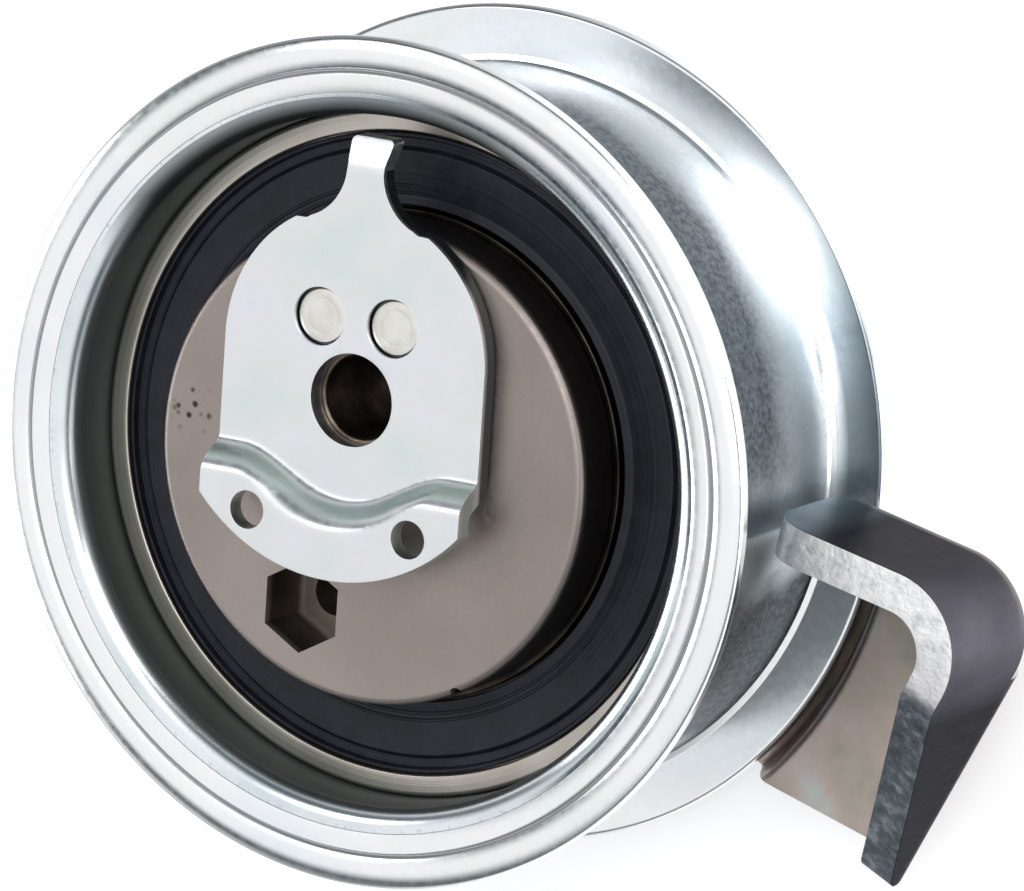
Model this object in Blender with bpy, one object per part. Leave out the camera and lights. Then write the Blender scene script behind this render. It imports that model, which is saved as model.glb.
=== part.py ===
"""Automatic timing belt tensioner: a flanged steel pulley on a ball bearing, carried by a sprung
working eccentric that swings on an adjusting eccentric, with a hooked base plate behind.

Metres, +Z along the pulley's axis towards the pointer plate, +Y through the pointer.
The origin is where the pulley's axis meets the mounting plane, the back of the base plate."""

from math import acos, atan2, ceil, cos, pi, radians, sin, sqrt, tan

import bmesh
import bpy
from mathutils import Vector

# Axes in plan, measured from the pulley's axis
STUD_X = -0.0011
STUD_Y = 0.0065
ADJUSTING_THROW = 0.0030

# Base plate and its hook
SHEET = 0.0039
PLATE_RADIUS = 0.0267
STEP_RISE = 0.0039
STEP_GAP = 0.0002
STEP_RUN = 0.0014
BEND_RADIUS = 0.0050
ARM_SHOULDER_INSET = 0.0020
ARM_SHOULDER_Y = -0.0065
ARM_SHOULDER_RADIUS = 0.0060
ARM_FOOT_DROP = 0.0019
HOOK_LEAN = radians(26.0)
HOOK_STANDOFF = 0.0176
HOOK_TOP = -0.0115
HOOK_BOTTOM = 0.0138
HOOK_WIDTH = 0.0152
TAPER_START = -0.0102
TAPER_ANGLE = radians(30.6)
TAB_CORNER = 0.0010
HOOK_LAP = 0.0003
CLAW_SLOPE = radians(12.5)
CLAW_RADIUS = 0.0080
CLAW_STRAIGHT = 0.0009
CLAW_TIP_INSET = 0.0032
CLAW_CORNER = 0.0045
CLAW_BACK_CORNER = 0.0030

# Pulley
DRUM_WALL = 0.0023
FLANGE_HEIGHT = 0.0055
FLANGE_SHEET = 0.0020
PULLEY_WIDTH = 0.0305
PULLEY_CLEARANCE = 0.0013
LIP_RADIUS = 0.0019
SHOULDER_HEIGHT = 0.0014
BEARING_RECESS = 0.0076

# Ball bearing
BEARING_WIDTH = 0.0150
BALL_COUNT = 12
BALL_RADIUS = 0.0032
INNER_LAND = 0.0022
OUTER_LAND = 0.0022
INNER_RING_WALL = 0.0034
OUTER_RING_WALL = 0.0037
SEAL_THICKNESS = 0.0012
SEAL_SINK = 0.0003
SEAL_SEAT = 0.0015
SEAL_LIP_WALL = 0.0018
SEAL_BEAD = 0.0004
SEAL_GROOVE = 0.0010
CAGE_WALL = 0.0022
CAGE_WEB = 0.0012
CAGE_PRONG = 0.0016

# Working eccentric
HUB_WALL = 0.00149
HUB_OVERHANG = 0.0003
DISC_LIP = 0.0014
DISC_SINK = 0.0012
HEX_FLATS = 0.0081
HEX_DEPTH = 0.0070
HEX_RIM = 0.0057
HEX_ANGLE = radians(-113.5)
DRAIN_RADIUS = 0.0026
DRAIN_OFFSET = 0.0009
DISC_EDGE = 0.0008
NICK_ANGLE = radians(-62.0)
NICK_RADIUS = 0.0006

# Bush, adjusting eccentric and their washers
ADJUSTER_RADIUS = 0.0104
STUD_BORE_RADIUS = 0.0042
BUSH_WALL = 0.0007
BUSH_SLIT = 0.0008
SPIGOT_RADIUS = 0.0070
SWAGE_FLARE = 0.0013
SWAGE_DEPTH = 0.0014
SLIDE_WASHER_WALL = 0.0017
SLIDE_WASHER_THICKNESS = 0.0009
THRUST_WASHER_RADIUS = 0.0112
THRUST_WASHER_THICKNESS = 0.0009

# Pointer plate and rivets
POINTER_SHEET = 0.0020
HEAD_RADIUS = 0.0147
HEAD_RISE = 0.0045
BOLT_HOLE_RADIUS = 0.0046
LOBE_STEP = 0.0032
LOBE_RUN = 0.0016
LOBE_RADIUS = 0.0199
LOBE_CENTRE_RISE = 0.0025
JOGGLE_DROP = 0.0061
JOGGLE_RADIUS = 0.0101
JOGGLE_FILLET = 0.0032
SHOULDER_WIDTH = 0.0150
NOTCH_WIDTH = 0.0126
NOTCH_RISE = 0.0172
NECK_WIDTH = 0.0041
NECK_START = 0.0229
NECK_FILLET = 0.00575
NECK_FOOT_ANGLE = radians(248.7)
POINTER_REACH = 0.0258
POINTER_WIDTH = 0.0048
POINTER_KINK = 0.0026
POINTER_KINK_ANGLE = radians(27.0)
POINTER_KINK_ROUND = 0.0009
POINTER_CORNER = 0.0004
PIN_HOLE_RADIUS = 0.0019
PIN_HOLE_SPACING = 0.0183
PIN_HOLE_EDGE = 0.00284
RIVET_SPACING = 0.00826
RIVET_RISE = 0.0077
RIVET_RADIUS = 0.0018
RIVET_HEAD_RADIUS = 0.0024
RIVET_HEAD_THICKNESS = 0.0006
RIVET_RECESS_GAP = 0.0005
RIVET_LENGTH = 0.0110

# Torsion spring
WIRE_RADIUS = 0.0014
COIL_RADIUS = 0.0164
COIL_TURNS = 1.75
FRONT_LEG_ANGLE = radians(-45.0)
FRONT_LEG_DEPTH = 0.0040
BACK_LEG_DEPTH = 0.0030

# Fits between pieces
SEAT_GAP = 0.0001
RUNNING_GAP = 0.00025
BEARING_FREE_PLAY = 0.0002

# How finely round pieces are faceted
PULLEY_STEPS = 56
BEARING_STEPS = 36
BUSH_STEPS = 28
SMALL_STEPS = 20

# Radii that follow from the sizes above, from the stud out
STUD = Vector((STUD_X, STUD_Y, 0.0))
SWING = STUD + Vector((0.0, ADJUSTING_THROW, 0.0))
PULLEY = Vector((0.0, 0.0, 0.0))
BUSH_RADIUS = ADJUSTER_RADIUS + RUNNING_GAP + BUSH_WALL
HOLE_RADIUS = BUSH_RADIUS + SEAT_GAP
HUB_RADIUS = SWING.length + HOLE_RADIUS + HUB_WALL
SEAL_LIP_RADIUS = HUB_RADIUS + SEAT_GAP + SEAL_LIP_WALL
BALL_PITCH_RADIUS = HUB_RADIUS + SEAT_GAP + INNER_RING_WALL + INNER_LAND
BEARING_RADIUS = BALL_PITCH_RADIUS + OUTER_LAND + OUTER_RING_WALL
DRUM_BORE_RADIUS = BEARING_RADIUS + SEAT_GAP
TREAD_RADIUS = DRUM_BORE_RADIUS + DRUM_WALL
FLANGE_RADIUS = TREAD_RADIUS + FLANGE_HEIGHT
HOOK_REACH = FLANGE_RADIUS + HOOK_STANDOFF
PIN_HOLE_DROP = (
    sqrt((LOBE_RADIUS - PIN_HOLE_EDGE) ** 2 - (PIN_HOLE_SPACING / 2) ** 2) - LOBE_CENTRE_RISE
)

# Heights that follow from the sizes above, from the mounting plane up
PULLEY_BACK = SHEET + PULLEY_CLEARANCE
PULLEY_FRONT = PULLEY_BACK + PULLEY_WIDTH
BEARING_FRONT = PULLEY_FRONT - BEARING_RECESS
BEARING_BACK = BEARING_FRONT - BEARING_WIDTH
BEARING_MIDDLE = (BEARING_FRONT + BEARING_BACK) / 2
DISC_FRONT = PULLEY_FRONT - DISC_SINK
DISC_BACK = BEARING_FRONT + SEAT_GAP + RUNNING_GAP
HUB_BACK = BEARING_BACK - HUB_OVERHANG
ADJUSTER_BACK = SHEET + THRUST_WASHER_THICKNESS + 2 * RUNNING_GAP
ADJUSTER_FRONT = DISC_FRONT + RUNNING_GAP
POINTER_BACK = ADJUSTER_FRONT + SEAT_GAP
POINTER_FRONT = POINTER_BACK + POINTER_SHEET


def clear_scene():
    """Starts from an empty scene."""
    for old in list(bpy.data.objects):
        bpy.data.objects.remove(old, do_unlink=True)


def finish(name, colour, roughness, metallic):
    """A Principled material for one kind of surface."""
    material = bpy.data.materials.new(name)
    material.use_nodes = True
    shader = material.node_tree.nodes["Principled BSDF"]
    shader.inputs["Base Color"].default_value = (*colour, 1.0)
    shader.inputs["Roughness"].default_value = roughness
    shader.inputs["Metallic"].default_value = metallic
    return material


def axis_empty(name, at, parent=None):
    """An empty on a joint's axis, which the pieces that turn about it hang on."""
    empty = bpy.data.objects.new(name, None)
    bpy.context.scene.collection.objects.link(empty)
    empty.parent = parent
    empty.location = at - axis_place(parent)
    return empty


def axis_place(empty):
    """Where an axis empty stands in the world, in plan."""
    place = Vector((0.0, 0.0, 0.0))
    while empty is not None:
        place += empty.location
        empty = empty.parent
    return place


def add_piece(name, body, material, parent=None, centre=PULLEY, smooth=True):
    """Makes a named object from a bmesh whose points are measured from centre."""
    bmesh.ops.recalc_face_normals(body, faces=body.faces)
    mesh = bpy.data.meshes.new(name)
    body.to_mesh(mesh)
    body.free()
    return add_object(name, mesh, material, parent, centre, smooth)


def add_object(name, mesh, material, parent=None, centre=PULLEY, smooth=True):
    """Hangs a mesh on its axis, with its own origin at centre."""
    piece = bpy.data.objects.new(name, mesh)
    bpy.context.scene.collection.objects.link(piece)
    if material is not None and not mesh.materials:
        mesh.materials.append(material)
    piece.parent = parent
    piece.location = centre - axis_place(parent)
    if smooth:
        mesh.shade_smooth()
        mesh.set_sharp_from_angle(angle=radians(32.0))
    return piece


def turned_body(profile, steps):
    """A section of (radius, height) points, turned about Z: a ring, or a solid if it starts at 0."""
    body = bmesh.new()
    points = [body.verts.new((r, 0.0, z)) for r, z in profile]
    ends = points[1:] + points[:1] if profile[0][0] > 0.0 else points[1:]
    edges = [body.edges.new((a, b)) for a, b in zip(points, ends)]
    bmesh.ops.spin(
        body, geom=points + edges, cent=(0, 0, 0), axis=(0, 0, 1), angle=2 * pi, steps=steps
    )
    bmesh.ops.remove_doubles(body, verts=body.verts, dist=1e-7)
    return body


def plate_body(outline, low, high):
    """A flat outline of (x, y) points, extruded from low to high."""
    body = bmesh.new()
    face = body.faces.new([body.verts.new((x, y, low)) for x, y in outline])
    grown = bmesh.ops.extrude_face_region(body, geom=[face])
    raised = [item for item in grown["geom"] if isinstance(item, bmesh.types.BMVert)]
    bmesh.ops.translate(body, verts=raised, vec=(0, 0, high - low))
    return body


def lofted_body(lower, upper, low, high):
    """Two outlines with as many points each, joined by straight sides."""
    body = bmesh.new()
    bottom = [body.verts.new((x, y, low)) for x, y in lower]
    top = [body.verts.new((x, y, high)) for x, y in upper]
    body.faces.new(bottom)
    body.faces.new(top)
    for i in range(len(bottom)):
        j = (i + 1) % len(bottom)
        body.faces.new((bottom[i], bottom[j], top[j], top[i]))
    return body


def disc_body(radius, low, high, steps):
    """A plain cylinder about Z."""
    return plate_body(arc((0.0, 0.0), radius, 0.0, 2 * pi, steps)[:-1], low, high)


def arc(centre, radius, start, end, steps):
    """Points along a circular arc, both ends included."""
    turn = (end - start) / steps
    return [
        (centre[0] + radius * cos(start + turn * i), centre[1] + radius * sin(start + turn * i))
        for i in range(steps + 1)
    ]


def rounded(corners, steps=5):
    """An outline through (x, y, radius) corners, each one rounded by its own arc."""
    outline = []
    for i, (x, y, radius) in enumerate(corners):
        here = Vector((x, y))
        if radius <= 0.0:
            outline.append((x, y))
            continue
        back = (Vector(corners[i - 1][:2]) - here).normalized()
        ahead = (Vector(corners[(i + 1) % len(corners)][:2]) - here).normalized()
        half = acos(max(-1.0, min(1.0, back.dot(ahead)))) / 2
        centre = here + (back + ahead).normalized() * (radius / sin(half))
        start = here + back * (radius / tan(half)) - centre
        end = here + ahead * (radius / tan(half)) - centre
        first = atan2(start.y, start.x)
        turn = (atan2(end.y, end.x) - first + pi) % (2 * pi) - pi
        outline += arc(centre, radius, first, first + turn, steps)
    return outline


def cut(piece, name, body, operation="DIFFERENCE", centre=PULLEY):
    """Cuts, or joins, a hidden helper shape into a piece."""
    helper = add_piece(name, body, None, piece.parent, centre, smooth=False)
    helper.hide_render = True
    helper.display_type = "WIRE"
    step = piece.modifiers.new(name, "BOOLEAN")
    step.operation = operation
    step.solver = "EXACT"
    step.object = helper
    return helper


def hook_point(out, down):
    """A point in plan, from its distance out to the hook's wall and down along it."""
    along = Vector((-sin(HOOK_LEAN), -cos(HOOK_LEAN)))
    outward = Vector((cos(HOOK_LEAN), -sin(HOOK_LEAN)))
    point = outward * out + along * down
    return point.x, point.y


def wall_stations():
    """Distances along the hook's wall at which its edge turns, from the tab's end up, and how
    far the tab's round corner cuts the edge back there."""
    ends = []
    for turn in (0.0, 45.0, 90.0):
        down = HOOK_BOTTOM - TAB_CORNER * (1 - cos(radians(turn)))
        ends.append((down, TAB_CORNER * (1 - sin(radians(turn)))))
    return ends + [(TAPER_START, 0.0), (HOOK_TOP, 0.0)]


def hook_stations():
    """Stations along the bent strip, from the tab's end to the claw's tip: outer and inner point
    in plan, and how far the front and back edges are cut back there."""
    stations = []
    for down, corner in wall_stations():
        taper = (down - TAPER_START) * tan(TAPER_ANGLE) if down > TAPER_START else 0.0
        outer = hook_point(HOOK_REACH, down)
        inner = hook_point(HOOK_REACH - SHEET, down)
        stations.append((outer, inner, taper + corner, 0.0))
    start = hook_point(HOOK_REACH - CLAW_RADIUS, HOOK_TOP - CLAW_STRAIGHT)
    first = -HOOK_LEAN
    last = pi / 2 - CLAW_SLOPE
    bend = zip(
        arc(start, CLAW_RADIUS, first, last, 9), arc(start, CLAW_RADIUS - SHEET, first, last, 9)
    )
    stations += [(outer, inner, 0.0, 0.0) for outer, inner in bend]
    outer_end, inner_end = (Vector(point) for point in stations[-1][:2])
    back_along = Vector((-cos(CLAW_SLOPE), sin(CLAW_SLOPE)))
    tip = FLANGE_RADIUS - CLAW_TIP_INSET
    length = (outer_end.x - tip) / cos(CLAW_SLOPE)
    for turn in (0.0, 22.0, 45.0, 67.0, 90.0):
        from_tip = CLAW_CORNER * (1 - sin(radians(turn)))
        past = CLAW_BACK_CORNER - from_tip
        back = CLAW_BACK_CORNER - sqrt(CLAW_BACK_CORNER**2 - past**2) if past > 0.0 else 0.0
        outer = outer_end + back_along * (length - from_tip)
        inner = inner_end + back_along * (length - from_tip)
        front = CLAW_CORNER * (1 - cos(radians(turn)))
        stations.append((tuple(outer), tuple(inner), front, back))
    return stations


def base_outline():
    """The base plate seen along the axis, as far as the bend of the hook."""
    centre = STUD.xy
    foot = hook_point(HOOK_REACH - BEND_RADIUS, HOOK_BOTTOM - ARM_FOOT_DROP)
    head = hook_point(HOOK_REACH - BEND_RADIUS, HOOK_TOP)
    shoulder = (FLANGE_RADIUS - ARM_SHOULDER_INSET, ARM_SHOULDER_Y)
    low = tangent_angle(foot, centre, PLATE_RADIUS, -1)
    high = tangent_angle(shoulder, centre, PLATE_RADIUS, 1)
    rim = arc(centre, PLATE_RADIUS, high, low + 2 * pi, 40)
    waist = rounded([(*head, 0.0), (*shoulder, ARM_SHOULDER_RADIUS), (*rim[0], 0.0)])
    return rim[1:] + [foot] + waist


def tangent_angle(point, centre, radius, side):
    """The direction from a circle's centre to where the tangent from a point touches it."""
    away = Vector(point) - Vector(centre)
    return atan2(away.y, away.x) + side * acos(radius / away.length)


def make_base_plate(steel):
    """Stamped plate: flat disc, raised arm, bend and hook in one piece."""
    foot = FLANGE_RADIUS + STEP_GAP
    top = SHEET + STEP_RISE
    fold = atan2(STEP_RISE, STEP_RUN)
    shift = SHEET * tan(fold / 2)
    far = HOOK_REACH + 5 * SHEET
    run = STEP_RUN / STEP_RISE
    plate = add_piece("base_plate", plate_body(base_outline(), 0.0, top), steel, smooth=False)
    above = [
        (0.0, SHEET),
        (foot, SHEET),
        (foot + run * (STEP_RISE + SHEET), top + SHEET),
        (0.0, top + SHEET),
    ]
    below = [
        (foot + shift - run * SHEET, -SHEET),
        (foot + shift + STEP_RUN, STEP_RISE),
        (far, STEP_RISE),
        (far, -SHEET),
    ]
    cut(plate, "cut_above_disc", turned_body(above, PULLEY_STEPS))
    cut(plate, "cut_under_arm", turned_body(below, PULLEY_STEPS))
    cut(plate, "join_hook", hook_body(), "UNION")
    cut(plate, "cut_spigot_hole", spigot_hole_body(), centre=STUD)
    cut(plate, "cut_spring_hole", leg_hole_body(-SHEET, top), centre=SWING + back_leg_offset())
    return plate


def hook_body():
    """The bend at the arm's end, the wall that leans over it and the claw that points back."""
    body = bmesh.new()
    back = STEP_RISE + BEND_RADIUS
    front = back + HOOK_WIDTH
    rows = []
    for outer, inner, front_cut, back_cut in hook_stations():
        corners = [
            (*outer, back + back_cut),
            (*outer, front - front_cut),
            (*inner, front - front_cut),
            (*inner, back + back_cut),
        ]
        rows.append([body.verts.new(corner) for corner in corners])
    downs = [down for down, corner in wall_stations()]
    count = len(downs)
    for i, (row, after) in enumerate(zip(rows, rows[1:])):
        for j in range(3 if i < count - 1 else 4):
            k = (j + 1) % 4
            body.faces.new((row[j], row[k], after[k], after[j]))
    centre = HOOK_REACH - BEND_RADIUS
    inside = BEND_RADIUS - SHEET
    levels = [[(row[0], row[3]) for row in rows[:count]]]
    for turn in (18.0, 36.0, 54.0, 72.0, 90.0, None):
        reach = cos(radians(turn)) if turn is not None else 0.0
        drop = sin(radians(turn)) if turn is not None else 1.0
        lap = 0.0 if turn is not None else HOOK_LAP
        level = []
        for down in downs:
            outer = hook_point(centre + BEND_RADIUS * reach - lap, down)
            inner = hook_point(centre + inside * reach - lap, down)
            level.append(
                (
                    body.verts.new((*outer, back - BEND_RADIUS * drop)),
                    body.verts.new((*inner, back - inside * drop)),
                )
            )
        levels.append(level)
    for level, below in zip(levels, levels[1:]):
        for i in range(count - 1):
            for j in (0, 1):
                body.faces.new((level[i][j], level[i + 1][j], below[i + 1][j], below[i][j]))
        for end in (0, -1):
            body.faces.new((level[end][0], level[end][1], below[end][1], below[end][0]))
    last = levels[-1]
    for i in range(count - 1):
        body.faces.new((last[i][0], last[i + 1][0], last[i + 1][1], last[i][1]))
    body.faces.new(rows[0])
    body.faces.new(rows[-1])
    return body


def spigot_hole_body():
    """The hole that the adjusting eccentric turns in, countersunk behind for its swaged end."""
    radius = SPIGOT_RADIUS + RUNNING_GAP
    flare = radius + SWAGE_FLARE
    section = [
        (0.0, -SHEET),
        (flare, -SHEET),
        (flare, 0.0),
        (radius, SWAGE_DEPTH),
        (radius, 2 * SHEET),
        (0.0, 2 * SHEET),
    ]
    return turned_body(section, BUSH_STEPS)


def leg_hole_body(low, high):
    """A hole for an end of the spring."""
    return disc_body(WIRE_RADIUS + RUNNING_GAP, low, high, SMALL_STEPS)


def front_leg_offset():
    """The spring's front end, from the swing axis."""
    return Vector((COIL_RADIUS * cos(FRONT_LEG_ANGLE), COIL_RADIUS * sin(FRONT_LEG_ANGLE), 0.0))


def back_leg_offset():
    """The spring's back end, from the swing axis."""
    angle = FRONT_LEG_ANGLE - 2 * pi * COIL_TURNS
    return Vector((COIL_RADIUS * cos(angle), COIL_RADIUS * sin(angle), 0.0))


def make_spring(steel):
    """Round wire coil about the swing axis, each end turned straight into its hole."""
    low = SHEET + WIRE_RADIUS + RUNNING_GAP
    high = HUB_BACK - WIRE_RADIUS - RUNNING_GAP
    count = ceil(COIL_TURNS * 18)
    turn = 2 * pi * COIL_TURNS
    points = [Vector((*back_leg_offset().xy, SHEET - BACK_LEG_DEPTH))]
    for i in range(count + 1):
        share = i / count
        angle = FRONT_LEG_ANGLE - turn + share * turn
        rise = min(1.0, max(0.0, (share * count - 1) / (count - 2)))
        height = low + (high - low) * rise
        points.append(Vector((COIL_RADIUS * cos(angle), COIL_RADIUS * sin(angle), height)))
    points.append(Vector((*front_leg_offset().xy, HUB_BACK + FRONT_LEG_DEPTH)))
    curve = bpy.data.curves.new("torsion_spring", "CURVE")
    curve.dimensions = "3D"
    curve.bevel_depth = WIRE_RADIUS
    curve.bevel_resolution = 1
    curve.use_fill_caps = True
    spline = curve.splines.new("POLY")
    spline.points.add(len(points) - 1)
    for place, point in zip(spline.points, points):
        place.co = (*point, 1.0)
    curve.materials.append(steel)
    spring = bpy.data.objects.new("torsion_spring", curve)
    bpy.context.scene.collection.objects.link(spring)
    spring.location = SWING
    return spring


def make_rear_washer(polymer):
    """Thrust washer on the base plate, behind the adjusting eccentric."""
    low = SHEET + RUNNING_GAP
    section = [
        (SPIGOT_RADIUS + 2 * RUNNING_GAP, low),
        (THRUST_WASHER_RADIUS, low),
        (THRUST_WASHER_RADIUS, low + THRUST_WASHER_THICKNESS),
        (SPIGOT_RADIUS + 2 * RUNNING_GAP, low + THRUST_WASHER_THICKNESS),
    ]
    body = turned_body(section, BUSH_STEPS)
    return add_piece("rear_thrust_washer", body, polymer, centre=STUD)


def make_adjusting_eccentric(steel, axis):
    """Eccentric on the stud: a round body about the swing axis, a spigot and a bore about the stud."""
    body = disc_body(ADJUSTER_RADIUS, ADJUSTER_BACK, ADJUSTER_FRONT, BUSH_STEPS)
    piece = add_piece("adjusting_eccentric", body, steel, axis, SWING)
    neck = [
        (0.0, 0.0),
        (SPIGOT_RADIUS + SWAGE_FLARE, 0.0),
        (SPIGOT_RADIUS, SWAGE_DEPTH),
        (SPIGOT_RADIUS, ADJUSTER_BACK + SHEET),
        (0.0, ADJUSTER_BACK + SHEET),
    ]
    cut(piece, "join_spigot", turned_body(neck, BUSH_STEPS), "UNION", STUD)
    bore = disc_body(STUD_BORE_RADIUS, -SHEET, ADJUSTER_FRONT + SHEET, SMALL_STEPS + 12)
    cut(piece, "cut_stud_bore", bore, centre=STUD)
    for side in (-1, 1):
        hole = disc_body(
            RIVET_RADIUS + SEAT_GAP,
            POINTER_FRONT - RIVET_LENGTH - 5 * SEAT_GAP,
            ADJUSTER_FRONT + SHEET,
            SMALL_STEPS,
        )
        cut(piece, f"cut_rivet_hole_{side}", hole, centre=rivet_place(side))
    return piece


def rivet_place(side):
    """Axis of one rivet in plan."""
    return STUD + Vector((side * RIVET_SPACING / 2, RIVET_RISE, 0.0))


def make_rivets(steel, axis):
    """Two rivets through the pointer plate, with flat heads sunk in round recesses."""
    shoulder = POINTER_FRONT - RIVET_HEAD_THICKNESS
    bottom = POINTER_FRONT - RIVET_LENGTH
    section = [
        (0.0, bottom),
        (RIVET_RADIUS, bottom),
        (RIVET_RADIUS, shoulder),
        (RIVET_HEAD_RADIUS, shoulder),
        (RIVET_HEAD_RADIUS, POINTER_FRONT - 0.0002),
        (RIVET_HEAD_RADIUS - 0.0002, POINTER_FRONT),
        (0.0, POINTER_FRONT),
    ]
    for name, side in (("rivet_left", -1), ("rivet_right", 1)):
        body = turned_body(section, SMALL_STEPS)
        add_piece(name, body, steel, axis, rivet_place(side))


def joggle_line(offset):
    """The lobe's fold line, moved outward by offset: straight, down round the bolt boss, straight."""
    fillet = JOGGLE_FILLET - offset
    ring = JOGGLE_RADIUS + offset
    centre_y = -JOGGLE_DROP - JOGGLE_FILLET
    centre_x = sqrt((JOGGLE_RADIUS + JOGGLE_FILLET) ** 2 - centre_y**2)
    meet = atan2(-centre_y, -centre_x)
    left = arc((-centre_x, centre_y), fillet, pi / 2, pi - meet, 4)
    start = atan2(centre_y, -centre_x)
    ring_part = arc((0.0, 0.0), ring, start, -pi - start, 12)[1:-1]
    right = arc((centre_x, centre_y), fillet, meet, pi / 2, 4)
    return left + ring_part + right


def head_outline():
    """The pointer plate seen along the axis, from the stud: lobe, sides, head, shoulders, neck."""
    shoulder_x = SHOULDER_WIDTH / 2
    shoulder = atan2(sqrt(HEAD_RADIUS**2 - shoulder_x**2), shoulder_x)
    lobe_end = atan2(-sqrt(LOBE_RADIUS**2 - HEAD_RADIUS**2), HEAD_RADIUS)
    lobe = arc((0.0, LOBE_CENTRE_RISE), LOBE_RADIUS, -pi - lobe_end, lobe_end, 18)
    right = arc((0.0, HEAD_RISE), HEAD_RADIUS, 0.0, shoulder, 8)
    right.append((NOTCH_WIDTH / 2, NOTCH_RISE))
    side = (NECK_WIDTH / 2 + NECK_FILLET, NECK_START)
    right += arc(side, NECK_FILLET, NECK_FOOT_ANGLE, pi, 6)
    right.append((NECK_WIDTH / 2, POINTER_REACH - POINTER_KINK))
    left = [(-x, y) for x, y in reversed(right)]
    return lobe + right + left


def make_pointer_plate(steel, axis):
    """Pressed plate with a raised wrench lobe and a pointer whose tip is bent back."""
    top = POINTER_FRONT + LOBE_STEP
    plate = add_piece(
        "pointer_plate",
        plate_body(head_outline(), POINTER_BACK, top),
        steel,
        axis,
        STUD,
        smooth=False,
    )
    far = HEAD_RADIUS * 3
    extra = 0.0010
    slope = LOBE_RUN / LOBE_STEP
    box_above = [(far, far), (-far, far)]
    foot = joggle_line(0.0)
    crest = joggle_line(LOBE_RUN + slope * extra)
    lower = [(-far, foot[0][1])] + foot + [(far, foot[-1][1])] + box_above
    upper = [(-far, crest[0][1])] + crest + [(far, crest[-1][1])] + box_above
    cut(
        plate,
        "cut_above_head",
        lofted_body(lower, upper, POINTER_FRONT, top + extra),
        centre=STUD,
    )
    fold = atan2(LOBE_STEP, LOBE_RUN)
    shift = POINTER_SHEET * tan(fold / 2)
    under_low = joggle_line(shift - slope * extra)
    under_high = joggle_line(shift + LOBE_RUN)
    box_below = [(far, -far), (-far, -far)]
    lower = [(-far, under_low[0][1])] + under_low + [(far, under_low[-1][1])] + box_below
    upper = [(-far, under_high[0][1])] + under_high + [(far, under_high[-1][1])] + box_below
    cut(
        plate,
        "cut_under_lobe",
        lofted_body(lower, upper, POINTER_BACK - extra, POINTER_BACK + LOBE_STEP),
        centre=STUD,
    )
    cut(plate, "join_pointer_tip", pointer_tip_body(), "UNION", STUD)
    hole = disc_body(BOLT_HOLE_RADIUS, POINTER_BACK - SHEET, top, BUSH_STEPS)
    cut(plate, "cut_bolt_hole", hole, centre=STUD)
    for side in (-1, 1):
        spot = STUD + Vector((side * PIN_HOLE_SPACING / 2, -PIN_HOLE_DROP, 0.0))
        hole = disc_body(PIN_HOLE_RADIUS, POINTER_BACK, top + SHEET, SMALL_STEPS)
        cut(plate, f"cut_pin_hole_{side}", hole, centre=spot)
        recess = turned_body(rivet_recess_section(), SMALL_STEPS)
        cut(plate, f"cut_rivet_recess_{side}", recess, centre=rivet_place(side))
    return plate


def rivet_recess_section():
    """The hole for a rivet's shank with the round recess for its head."""
    floor = POINTER_FRONT - RIVET_HEAD_THICKNESS - SEAT_GAP
    return [
        (0.0, POINTER_BACK - SHEET),
        (RIVET_RADIUS + SEAT_GAP, POINTER_BACK - SHEET),
        (RIVET_RADIUS + SEAT_GAP, floor),
        (RIVET_HEAD_RADIUS + RIVET_RECESS_GAP, floor),
        (RIVET_HEAD_RADIUS + RIVET_RECESS_GAP, POINTER_FRONT + SHEET),
        (0.0, POINTER_FRONT + SHEET),
    ]


def pointer_tip_body():
    """The pointer's end, bent back from the neck, with a short lap into it."""
    bend = POINTER_REACH - POINTER_KINK
    neck = NECK_WIDTH / 2
    half = POINTER_WIDTH / 2
    lap = POINTER_SHEET / 5
    rows = [
        (bend - lap, neck - lap, lap),
        (bend, neck - lap, lap),
        (bend, neck, 0.0),
        (bend + POINTER_KINK_ROUND, neck + (half - neck) / 3, 0.0),
        (POINTER_REACH - POINTER_CORNER, half, 0.0),
        (POINTER_REACH, half - POINTER_CORNER, 0.0),
    ]
    body = bmesh.new()
    rings = []
    for y, x, inset in rows:
        past = max(0.0, y - bend)
        drop = (past - min(past, POINTER_KINK_ROUND) / 2) * tan(POINTER_KINK_ANGLE)
        low = POINTER_BACK - drop + inset
        high = POINTER_FRONT - drop - inset
        corners = [(-x, y, low), (x, y, low), (x, y, high), (-x, y, high)]
        rings.append([body.verts.new(corner) for corner in corners])
    for ring, after in zip(rings, rings[1:]):
        for i in range(4):
            j = (i + 1) % 4
            body.faces.new((ring[i], ring[j], after[j], after[i]))
    body.faces.new(rings[0])
    body.faces.new(rings[-1])
    return body


def make_slide_washer(polymer, axis):
    """Sliding washer in the disc's front recess, under the pointer plate."""
    low = DISC_FRONT - SLIDE_WASHER_THICKNESS - SEAT_GAP
    inner = HOLE_RADIUS + SEAT_GAP
    outer = inner + SLIDE_WASHER_WALL
    section = [
        (inner, low),
        (outer, low),
        (outer, low + SLIDE_WASHER_THICKNESS),
        (inner, low + SLIDE_WASHER_THICKNESS),
    ]
    return add_piece("front_slide_washer", turned_body(section, BUSH_STEPS), polymer, axis, SWING)


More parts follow.
